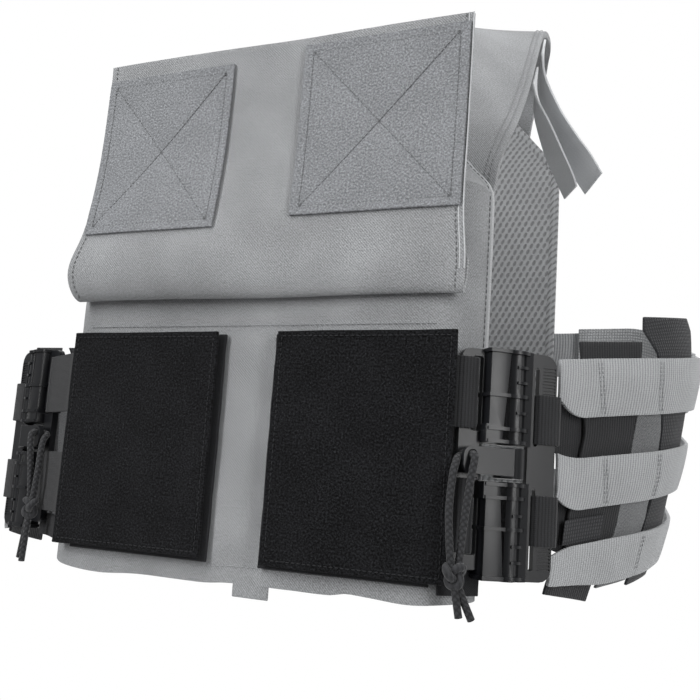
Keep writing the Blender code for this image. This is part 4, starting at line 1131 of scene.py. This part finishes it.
class VEST_OT_stage(bpy.types.Operator):
    """Camera, soft lights and a pale floor"""
    bl_idname = "vest.stage"
    bl_label = "Stage"

    def execute(self, context):
        deselect()
        bpy.ops.object.camera_add(location=tuple(to_row(CAMERA_PLACE)),
                                  rotation=(math.radians(90), 0, CAMERA_TURN))
        camera = context.object
        camera.name = "camera"
        camera.data.sensor_width = 36
        camera.data.lens = CAMERA_LENS
        context.scene.camera = camera
        for name, place, aim, power, wide, tall in LIGHTS:
            deselect()
            bpy.ops.object.light_add(type="AREA", location=place)
            light = context.object
            light.name = name
            light.data.energy = power
            light.data.shape = "RECTANGLE"
            light.data.size, light.data.size_y = wide, tall
            way = Vector(aim) - Vector(place)
            light.rotation_euler = way.to_track_quat("-Z", "Y").to_euler()
        world = bpy.data.worlds.new("studio")
        world.use_nodes = True
        nodes, links = world.node_tree.nodes, world.node_tree.links
        place, split = nodes.new("ShaderNodeTexCoord"), nodes.new("ShaderNodeSeparateXYZ")
        ramp = nodes.new("ShaderNodeMapRange")
        for key, value in (("From Min", 0.1), ("From Max", 0.62), ("To Min", 0.22), ("To Max", 1.0)):
            ramp.inputs[key].default_value = value
        links.new(place.outputs["Generated"], split.inputs[0])
        links.new(split.outputs["Y"], ramp.inputs["Value"])
        links.new(ramp.outputs[0], nodes["Background"].inputs["Strength"])
        nodes["Background"].inputs["Color"].default_value = (1, 1, 1, 1)
        context.scene.world = world
        context.scene.view_settings.view_transform = "Standard"
        deselect()
        bpy.ops.mesh.primitive_grid_add(x_subdivisions=8, y_subdivisions=8, size=1)
        floor = context.object
        floor.name = "floor"
        size = Matrix.Diagonal((FLOOR_WIDTH, FLOOR_WIDTH, 1, 1))
        floor.data.transform(Matrix.Translation((0, 0, FLOOR_HEIGHT)) @ size)
        floor.data.materials.append(material("floor"))
        return {"FINISHED"}


class VEST_OT_front_bag(bpy.types.Operator):
    """Front bag: cloth face, mesh lining, bound rim, hem stitches and the small tab"""
    bl_idname = "vest.front_bag"
    bl_label = "Front bag"

    def execute(self, context):
        face = bag_surface(FRONT_CUT_H, front_hem, front_creases)
        cloth_piece("front_bag_face", lean(face), 1.6, "carrier_cloth", ("front_face",), offset=-1, bevel=0)
        lining = lining_grid(FRONT_CUT_H, front_hem, BAG_DEPTH, 1)
        cloth_piece("front_bag_lining", lean(lining), 3.6, "spacer_mesh", ("front_lining",))
        outline = bag_outline(FRONT_CUT_H, front_hem)
        edge_tape("front_bag_binding", outline, BAG_DEPTH, 1, "carrier_binding")
        side_stitches("front_bag_side_stitches", outline, BAG_DEPTH - 3.4, "dark_thread")
        columns = np.linspace(-118, 118, 120)
        for name, at in (("front_hem_stitches", 9.5), ("front_seam_stitches", None)):
            line = np.array([(x, 0.0, front_hem(x) + at if at else 136.8) for x in columns])
            line[:, 1] = [front_creases(x, h) - 0.1 for x, _, h in line]
            stitch_row(name, [(lean(line), FORWARD)], "grey_thread")
        tab = np.array([[(x, 1.4 + 0.4 * math.sin(h / 9), h) for x in np.linspace(0, 23, 9)]
                        for h in np.linspace(-19.5, -7, 10)])
        cloth_piece("front_tab", chest(tab), 1.6, "carrier_cloth", ("front_bottom_tab",))
        return {"FINISHED"}


class VEST_OT_back_bag(bpy.types.Operator):
    """Back bag: cloth face, mesh lining, bound rim and the flap over the side rows' ends"""
    bl_idname = "vest.back_bag"
    bl_label = "Back bag"

    def execute(self, context):
        face = bag_surface(BACK_CUT_H, lambda x: BACK_HEM_H, back_creases)
        rear = BACK_RIM_D + BAG_DEPTH
        face[:, :, 1] = rear - face[:, :, 1]
        cloth_piece("back_bag_face", lean(face[:, ::-1]), 1.6, "carrier_cloth", ("back_face",), offset=-1,
                    bevel=0)
        lining = lining_grid(BACK_CUT_H, lambda x: BACK_HEM_H, BACK_RIM_D, -1)
        cloth_piece("back_bag_lining", lean(lining[:, ::-1]), 3.6, "spacer_mesh", ("back_lining",))
        outline = bag_outline(BACK_CUT_H, lambda x: BACK_HEM_H)
        edge_tape("back_bag_binding", outline, BACK_RIM_D, -1, "spacer_mesh")
        table = smooth_line([(237.95, 168), (237.95, 158), (237.95, 150), (239.6, 143), (241.3, 136),
                             (241.3, 110), (241.3, 60), (241.3, 20)], 5)
        columns = with_borders(40, 0.004) * 236 - 118
        flap = np.array([[(x, y + 0.35 * ripple(x, z, 30, 14), z) for x in columns] for y, z in table])
        surface = sheared(flap)
        piece = cloth_piece("back_flap_cloth", surface, 2.0, "carrier_cloth", ("back_flap",))
        edge = [[(x, 242.6, z) for z in np.linspace(26, 132, 40)] for x in (-112, 112)]
        lines = [(sheared(np.array(line)), BACKWARD) for line in edge]
        hem = np.array([(x, 242.6, 26.0) for x in np.linspace(-112, 112, 60)])
        lines.append((sheared(hem), BACKWARD))
        stitch_row("back_flap_stitches", lines, "grey_thread")
        return {"FINISHED"}


class VEST_OT_flap(bpy.types.Operator):
    """Flap folded up over the front bag, with two loop patches sewn on with crossed stitches"""
    bl_idname = "vest.flap"
    bl_label = "Front flap"

    def execute(self, context):
        columns = with_borders(64, 0.004)
        surface = chest(flap_surface(0.0, columns))
        flap = cloth_piece("flap_cloth", surface, FLAP_T, "carrier_cloth", ("front_flap",))
        over = FLAP_T / 2 + 0.3 + PATCH_T / 2
        shares = with_borders(40, 0.006)
        for side, (low, high, bottom) in PATCHES.items():
            wide, top = high - low, bottom + PATCH_H
            def pulled(a, b):
                inner = a if side == "right" else 1 - a
                cross = min(abs(a - b), abs(a + b - 1)) * wide * 0.7
                border = min(a, 1 - a) * wide, min(b, 1 - b) * PATCH_H
                seam = math.exp(-((border[1] - 5) / 1.1) ** 2) + math.exp(-((border[0] - 5.5) / 1.1) ** 2)
                rim = -0.7 * math.exp(-(((1 - inner) * wide - 1.2) / 1.3) ** 2)
                return 0.6 * math.exp(-((cross) / 1.3) ** 2) + 0.5 * seam + rim
            patch = flap_grid_patch(over, shares, shares, low, high, bottom, top, pulled)
            cloth_piece(f"flap_loop_patch_{side}", chest(patch), PATCH_T, "flap_loop",
                                       (f"flap_patch_{side}",))
            lines = []
            ends = ((0.06, 0.05, 0.94, 0.95), (0.06, 0.95, 0.94, 0.05), (0.05, 0.05, 0.95, 0.05),
                    (0.05, 0.95, 0.95, 0.95), (0.055, 0.05, 0.055, 0.95), (0.945, 0.05, 0.945, 0.95))
            for a0, b0, a1, b1 in ends:
                count = 40
                row = np.array([[low + wide * (a0 + (a1 - a0) * t), bottom + PATCH_H * (b0 + (b1 - b0) * t)]
                                for t in np.linspace(0, 1, count)])
                shown = flap_surface(over + PATCH_T / 2 - 0.15, np.linspace(0, 1, 21), 4)
                front = shown[int(np.argmin(shown[:, 10, 1])):]
                line = []
                for x, h in row:
                    column = np.array([[np.interp(x, r[:, 0], r[:, k]) for k in (1, 2)] for r in front])
                    line.append((x, float(np.interp(h, column[:, 1], column[:, 0])) + 0.35, h))
                lines.append((chest(np.array(line)), FORWARD))
            stitch_row(f"flap_patch_stitches_{side}", lines, "dark_thread", 2.6, 2.2, 0.45)
        lines = []
        grid = flap_surface(FLAP_T / 2 + 0.05, np.linspace(0, 1, 61), 6)
        start = int(np.argmin(grid[:, 30, 1])) - 14
        for column in (1, 59):
            lines.append((chest(grid[start:, column]), FORWARD))
        stitch_row("flap_side_stitches", lines, "dark_thread")
        for name, shift in (("flap_piping_outer", 0.1), ("flap_piping_inner", -2.6)):
            edge = grid[start + 9:, 60] + (shift, -0.1, 0.0)
            tube_piece(name, chest(edge), 0.4, "pale_thread", 8)
        return {"FINISHED"}


class VEST_OT_loop_panels(bpy.types.Operator):
    """Black loop panels on the chest, each on its backing"""
    bl_idname = "vest.loop_panels"
    bl_label = "Loop panels"

    def execute(self, context):
        for side in SIDES:
            sign = SIGN[side]
            grid = panel_grid(sign, PANEL_D - 0.2, 30 if side == "left" else 41)
            grid = grid if side == "left" else grid[:, ::-1]
            cloth_piece(f"chest_loop_panel_{side}", chest(grid), PANEL_T * 0.8, "black_loop",
                        (f"loop_panel_{side}",), bevel=0.35)
            shares = with_borders(30, 0.006)
            low_x, high_x = PANEL_IN_X - 3, PANEL_IN_X + PANEL_W - 10.5
            backing = np.zeros((len(shares), len(shares), 3))
            for i, b in enumerate(shares):
                for j, a in enumerate(shares):
                    x, h = low_x + (high_x - low_x) * a, -2 + (PANEL_H + 1) * b
                    x += 0.5 * ripple(h, 3, 14, 52) * (1 - a)
                    backing[i, j] = (sign * x, -1.3 - 0.9 * math.exp(-a * 9) - 0.6 * math.exp(-b * 9), h)
            backing = backing if side == "left" else backing[:, ::-1]
            cloth_piece(f"chest_backing_{side}", chest(backing), BACKING_T, "black_cloth",
                        (f"loop_backing_{side}",))
            lines = []
            low, high, inset = PANEL_IN_X + 3.2, PANEL_IN_X + PANEL_W - 3.2, 3.2
            top = PANEL_H - inset
            corners = [(low, inset), (high, inset), (high, top), (low, top), (low, inset)]
            for (x0, h0), (x1, h1) in zip(corners, corners[1:]):
                t = np.linspace(0, 1, 30)[:, None]
                run = np.array([[x0, h0]]) * (1 - t) + np.array([[x1, h1]]) * t
                line = [(sign * x, PANEL_D - 1.25, h) for x, h in run]
                lines.append((chest(np.array(line)), FORWARD))
            stitch_row(f"panel_stitches_{side}", lines, "black_thread")
        return {"FINISHED"}


class VEST_OT_buckles(bpy.types.Operator):
    """Side buckles: chest half, side half with its ringed tube, and the release tab"""
    bl_idname = "vest.buckles"
    bl_label = "Side buckles"

    spans = ((9.8, BUCKLE_HALF_H), (-BUCKLE_HALF_H, -9.6))
    flanges = (59.2, 35.6, 17.9, 11.2, -11.1, -17.9, -33.9, -58.8)
    ridges = (51.3, 43.0, 26.8, -26.9, -42.6, -50.8)

    def execute(self, context):
        for side in SIDES:
            self.chest_half(side)
            self.side_half(side)
            self.release_tab(side)
        return {"FINISHED"}

    def chest_half(self, side):
        """The half on the chest: a slotted plate and the shell that the tube turns in."""
        plate = prism(rounded_rect(BAR_IN[0], -8.2, -55.5, 59.8, (4, 0, 0, 5)), -2.0, 2.0, upright=False)
        profile = [(-17.2, -3.5), (-13.2, -7.2), (-9.8, -7.2), (-8.2, -4.6), (-8.2, 2.0), (-7.1, 3.4),
                   (-5.9, 5.2), (-4.6, 6.5), (-5.0, 7.7), (-9.0, 8.2), (-16.4, 7.4), (-17.2, 5.6)]
        blocks = [prism(profile, low + 0.35, high - 0.35) for low, high in self.spans]
        blocks += [prism([(-19.0, -2.5), (-10, -2.5), (-10, 8.0), (-18.0, 7.9), (-19.0, 6.4)], low, high)
                   for low, high in ((10.7, 20.0), (-18.6, -10.0))]
        lips = []
        for v in self.flanges:
            lips.append(prism([(-18.3, -4.0), (-13.4, -7.9), (-8.6, -7.9), (-8.6, 2.2), (-8.3, 4.4),
                               (-6.9, 6.3), (-5.0, 7.6), (-5.2, 9.2), (-9.0, 9.4), (-17.2, 8.7),
                               (-18.3, 6.6)], v - 0.95, v + 0.95))
        plate = joined(plate, blocks + lips)
        slots = [prism(rounded_rect(*SLOT_IN, v - 20, v + 20, (1.2,) * 4), -9, 9, upright=False)
                 for v in INNER_V.values()]
        slots.append(prism([(-19, -12), (2, -12), (2, 12), (-19, 12)], self.spans[1][1], self.spans[0][0]))
        plate = joined(plate, slots, "DIFFERENCE")
        settle(plate, side, f"buckle_chest_half_{side}", "buckle_plastic", (f"buckle_inner_half_{side}",))

    def side_half(self, side):
        """The half on the side rows: a slotted plate with grips, and the ringed tube."""
        plate = prism(rounded_rect(5, BAR_OUT[1], -BUCKLE_HALF_H, BUCKLE_HALF_H, (0, 7, 8, 0)), -2.0, 2.0,
                      upright=False)
        shapes = []
        for low, high in self.spans:
            shapes.append(prism(arc(6.3, -20, 75, 8) + arc(7.4, 82, 335, 18), low, high))
            shapes.append(prism([(3.5, -3.4), (10.2, -3.4), (10.2, 3.6), (5.2, 5.2), (3.5, 4.2)], low, high))
        for v in self.flanges:
            shapes.append(prism(arc(9.1, -118, 118, 22), v - 0.95, v + 0.95))
        for v in self.ridges:
            shapes.append(prism(arc(8.6, -20, 96, 14) + [(0, 0)], v - 0.75, v + 0.75))
        plate = joined(plate, shapes)
        slots = [prism(rounded_rect(*SLOT_OUT, low, high, (1.2,) * 4), -9, 9, upright=False)
                 for low, high in ((10.5, 52.8), (-54.9, -12))]
        slots.append(prism([(-10, -12), (9.4, -12), (9.4, 12), (-10, 12)], self.spans[1][1],
                           self.spans[0][0]))
        for middle, count in ((-48.6, 3), (45.8, 4)):
            for k in range(-count, count + 1):
                v = middle + k * 1.75
                slots.append(prism([(17.4, 1.35), (25.0, 1.35), (25.0, 4), (17.4, 4)], v - 0.45, v + 0.45))
        plate = joined(plate, slots, "DIFFERENCE")
        settle(plate, side, f"buckle_side_half_{side}", "buckle_plastic", (f"buckle_outer_half_{side}",),
               0.25)

    def release_tab(self, side):
        """The barrel between the tubes, with the tongue that the cord is threaded through."""
        low, high = -7.8, 8.2
        barrel = prism(arc(8.3, 0, 345, 24), low, high)
        neck = prism([(-9.5, 2.0), (0, 2.0), (0, 8.2), (-3.0, 8.9), (-9.5, 9.6)], low + 0.6, high - 0.4)
        tongue = prism(rounded_rect(-31, -2, low + 1.2, high - 0.6, (4.5, 0, 0, 4.5)), 6.8, 9.8,
                       upright=False)
        body = joined(barrel, [neck, tongue])
        hole = prism(arc(2.7, 0, 337.5, 16, (-26.0, 3.2)), 0, 16, upright=False)
        body = joined(body, [hole], "DIFFERENCE")
        settle(body, side, f"buckle_release_tab_{side}", "buckle_plastic", (f"buckle_pull_tab_{side}",), 0.5)


class VEST_OT_buckle_webbing(bpy.types.Operator):
    """Black webbing round the buckle bars, and the ply under the lower webbing"""
    bl_idname = "vest.buckle_webbing"
    bl_label = "Buckle webbing"

    def execute(self, context):
        shares = with_borders(12, 0.02)
        for side in SIDES:
            wrap = Wrap(side)
            for which in ("upper", "lower"):
                first, second = (self.chest_edge(side, INNER_V[which] + half)
                                 for half in (-INNER_WEB_W / 2, INNER_WEB_W / 2))
                self.strap(f"chest_webbing_{which}_{side}", first, second, shares,
                           f"inner_strap_{which}_{side}")
                first, second = (self.side_edge(side, wrap, which, half)
                                 for half in (-OUTER_WEB_W / 2, OUTER_WEB_W / 2))
                self.strap(f"side_webbing_{which}_{side}", first, second, shares,
                           f"outer_strap_{which}_{side}")
            low, high = (self.foot_edge(side, v) for v in FOOT_V[side])
            self.strap(f"chest_foot_{side}", low, high, shares, f"adapter_foot_{side}", "black_cloth")
        return {"FINISHED"}

    def strap(self, name, first, second, shares, node, look="black_webbing"):
        """Webbing between two edge lines, a little uneven."""
        first, second = (smooth_line(edge, 7) for edge in (first, second))
        grid = ruled(first, second, shares)
        normal = surface_normals(grid)
        waves = np.array([[0.22 * ripple(j * 1.7, i * 3.0, 12, 15) for j in range(grid.shape[1])]
                          for i in range(grid.shape[0])])
        cloth_piece(name, grid + normal * waves[..., None], WEB_T * 0.94, look, (node,), bevel=0.35)

    def chest_edge(self, side, v):
        """An edge of the webbing from under the loop panel round the chest half's bar and back."""
        far, near = BAR_IN
        plan = [(far, WRAP_OFF), (near - 0.8, WRAP_OFF), (near + 2.3, 2.4), (near + 2.8, 0), (near + 2.3, -2.4),
                (near - 0.8, -WRAP_OFF), (far + 1, -WRAP_OFF)]
        h = TUBES[side][3] + v
        under = -(0.6 + BACKING_T + WEB_T / 2)
        start = [lean((SIGN[side] * x, under, h)) for x in (98, 112, 124)]
        rest = buckle_line(side, plan, v)
        start.append(start[-1] + (rest[0] - start[-1]) * 0.3)
        return np.vstack([start, rest])

    def side_edge(self, side, wrap, which, half):
        """An edge of the webbing round the side half's bar and on to the front strip."""
        near, far = BAR_OUT
        plan = [(far - 1, -WRAP_OFF), (near + 0.4, -WRAP_OFF), (near - 2.4, -2.4), (near - 2.8, 0),
                (near - 2.4, 2.4), (near + 0.4, WRAP_OFF), (far - 0.3, WRAP_OFF), (far + 2.2, 0.9)]
        end_s, tilt = {"upper": (56, 8), "lower": (46, 5)}[which]
        tilt += 6 if half < 0 else 0
        edge = list(buckle_line(side, plan, OUTER_V[which] + half))
        start_z = edge[-1][2]
        for s, offset in ((-0.9, -3.7), (2.2, -6.4), (16, STRAP_OFFSET), (30, STRAP_OFFSET),
                          (end_s, STRAP_OFFSET)):
            edge.append(wrap.point(s, start_z - tilt * float(ease(-12, 34, s)), offset))
        return np.array(edge)

    def foot_edge(self, side, v):
        """An edge of the ply below the lower webbing."""
        h = TUBES[side][3] + v
        start = [lean((SIGN[side] * x, d, h)) for x, d in ((126.0, -1.2), (129.0, 1.8))]
        if side == "right":
            return np.vstack([start, buckle_line(side, [(-33, -3.4), (-26, -3.6), (-19.6, -4.4)], v)])
        return np.vstack([start, buckle_line(side, [(-26, -3.6), (-19.6, -4.4), (-12.0, -6.4)], v)])


class VEST_OT_side_rows(bpy.types.Operator):
    """Side rows, the upright strips behind them and the pale band at the back"""
    bl_idname = "vest.side_rows"
    bl_label = "Side rows"

    def execute(self, context):
        for side in SIDES:
            wrap = Wrap(side)
            threads = []
            for which, sizes in ROWS.items():
                grid = wrap.row(sizes)
                grid = grid if side == "left" else grid[:, ::-1]
                cloth_piece(f"side_row_{which}_{side}", grid, ROW_T * 0.92, "carrier_webbing",
                            (f"row_{which}_{side}",), bevel=0.35)
                for at in range(len(wrap.seams(sizes[0]))):
                    zs = np.linspace(sizes[0] + 1.5, sizes[1] - 1.5, 24)
                    for beside in (-1.3, 1.3):
                        places = [wrap.seams(z)[at] + beside for z in zs]
                        line = np.array([wrap.point(s, z, ROW_T / 2 - 0.1) for s, z in zip(places, zs)])
                        threads.append((line, wrap.outward_at(places[0])))
            stitch_row(f"row_stitches_{side}", threads, "grey_thread", 2.4, 1.9, 0.45)
            columns = with_borders(16, 0.03)
            for which, table, look in (("front", STAY_FRONT, "black_webbing"),
                                       ("middle", STAY_MIDDLE, "carrier_lining_cloth"),
                                       ("rear", STAY_REAR, "black_grid")):
                slant = FRONT_SLANT[side] if which == "front" else 0.0
                grid = wrap.strip(table, STAY_OFFSET, columns, 60, STAY_TOP[side], slant=slant)
                cloth_piece(f"side_strip_{which}_{side}", grid, STAY_T * 0.92, look,
                            (f"stay_{which}_{side}",))
            patch = wrap.strip(PATCH_STRIP, -ROW_T / 2 - 0.45, columns, 12, soft=0.1)
            cloth_piece(f"side_patch_{side}", patch, 0.5, "black_grid")
            band = wrap.strip(REAR_BAND, STAY_OFFSET - 0.3, with_borders(70, 0.004), 16)
            cloth_piece(f"rear_pale_band_{side}", band, STAY_T * 0.92, "frayed_band", (f"rear_band_{side}",))
        return {"FINISHED"}


class VEST_OT_shoulders(bpy.types.Operator):
    """Padded shoulder straps and their loose webbing ends"""
    bl_idname = "vest.shoulders"
    bl_label = "Shoulder straps"

    def execute(self, context):
        columns = with_borders(18, 0.012)
        for side in SIDES:
            grid = shoulder_grid(side, columns)
            pad = padded_piece(f"shoulder_pad_{side}", grid, SHOULDER_T * 0.9, "carrier_cloth",
                               (f"shoulder_strap_{side}",), (0, 1, 2, 17, 18, 19))
            lines = []
            surface = shoulder_grid(side, np.array([0.05, 0.09, 0.91, 0.95]))
            normal = surface_normals(surface)
            normal = normal * np.sign(normal[len(normal) // 2, 0, 2])
            for j in range(4):
                lines.append((surface[:, j] + normal[:, j] * (SHOULDER_T / 2 + 0.05), normal[:, j]))
            stitch_row(f"shoulder_stitches_{side}", lines, "grey_thread")
            for which, table in (("a", TAIL_A), ("b", TAIL_B)):
                line = smooth_line(table, 8)
                shares = with_borders(8, 0.03) - 0.5
                across = line[:, 3:] / np.linalg.norm(line[:, 3:], axis=1, keepdims=True)
                tail = np.stack([line[:, :3] + across * t * TAIL_W for t in shares], axis=0)
                # The loose ends take the webbing painted lighter, as painted light.
                cloth_piece(f"loose_strap_{which}_{side}", mirrored(tail, side), 1.5, "tail_webbing_painted_light",
                            (f"strap_tail_{which}_{side}",))
        return {"FINISHED"}


OPERATORS = (VEST_OT_stage, VEST_OT_cords, VEST_OT_front_bag, VEST_OT_back_bag, VEST_OT_flap,
             VEST_OT_loop_panels, VEST_OT_buckles, VEST_OT_buckle_webbing, VEST_OT_side_rows,
             VEST_OT_shoulders)


class VEST_PT_panel(bpy.types.Panel):
    """Lists the vest's pieces and colours"""
    bl_idname = "VEST_PT_panel"
    bl_label = "Plate Carrier Vest"
    bl_space_type = "VIEW_3D"
    bl_region_type = "UI"
    bl_category = "Vest"

    def draw(self, context):
        for group in (context.scene.vest_look, context.scene.vest_sizes):
            for key in group.__annotations__:
                self.layout.prop(group, key)
        for operator in OPERATORS:
            self.layout.operator(operator.bl_idname)


CLASSES = (VestLook, VestSizes) + OPERATORS + (VEST_PT_panel,)


def register():
    for item in CLASSES:
        bpy.utils.register_class(item)
    bpy.types.Scene.vest_look = PointerProperty(type=VestLook)
    bpy.types.Scene.vest_sizes = PointerProperty(type=VestSizes)


def unregister():
    del bpy.types.Scene.vest_look
    del bpy.types.Scene.vest_sizes
    for item in reversed(CLASSES):
        bpy.utils.unregister_class(item)


def main():
    register()
    for operator in OPERATORS:
        group, name = operator.bl_idname.split(".")
        getattr(getattr(bpy.ops, group), name)()
    deselect()


if __name__ == "__main__":
    main()
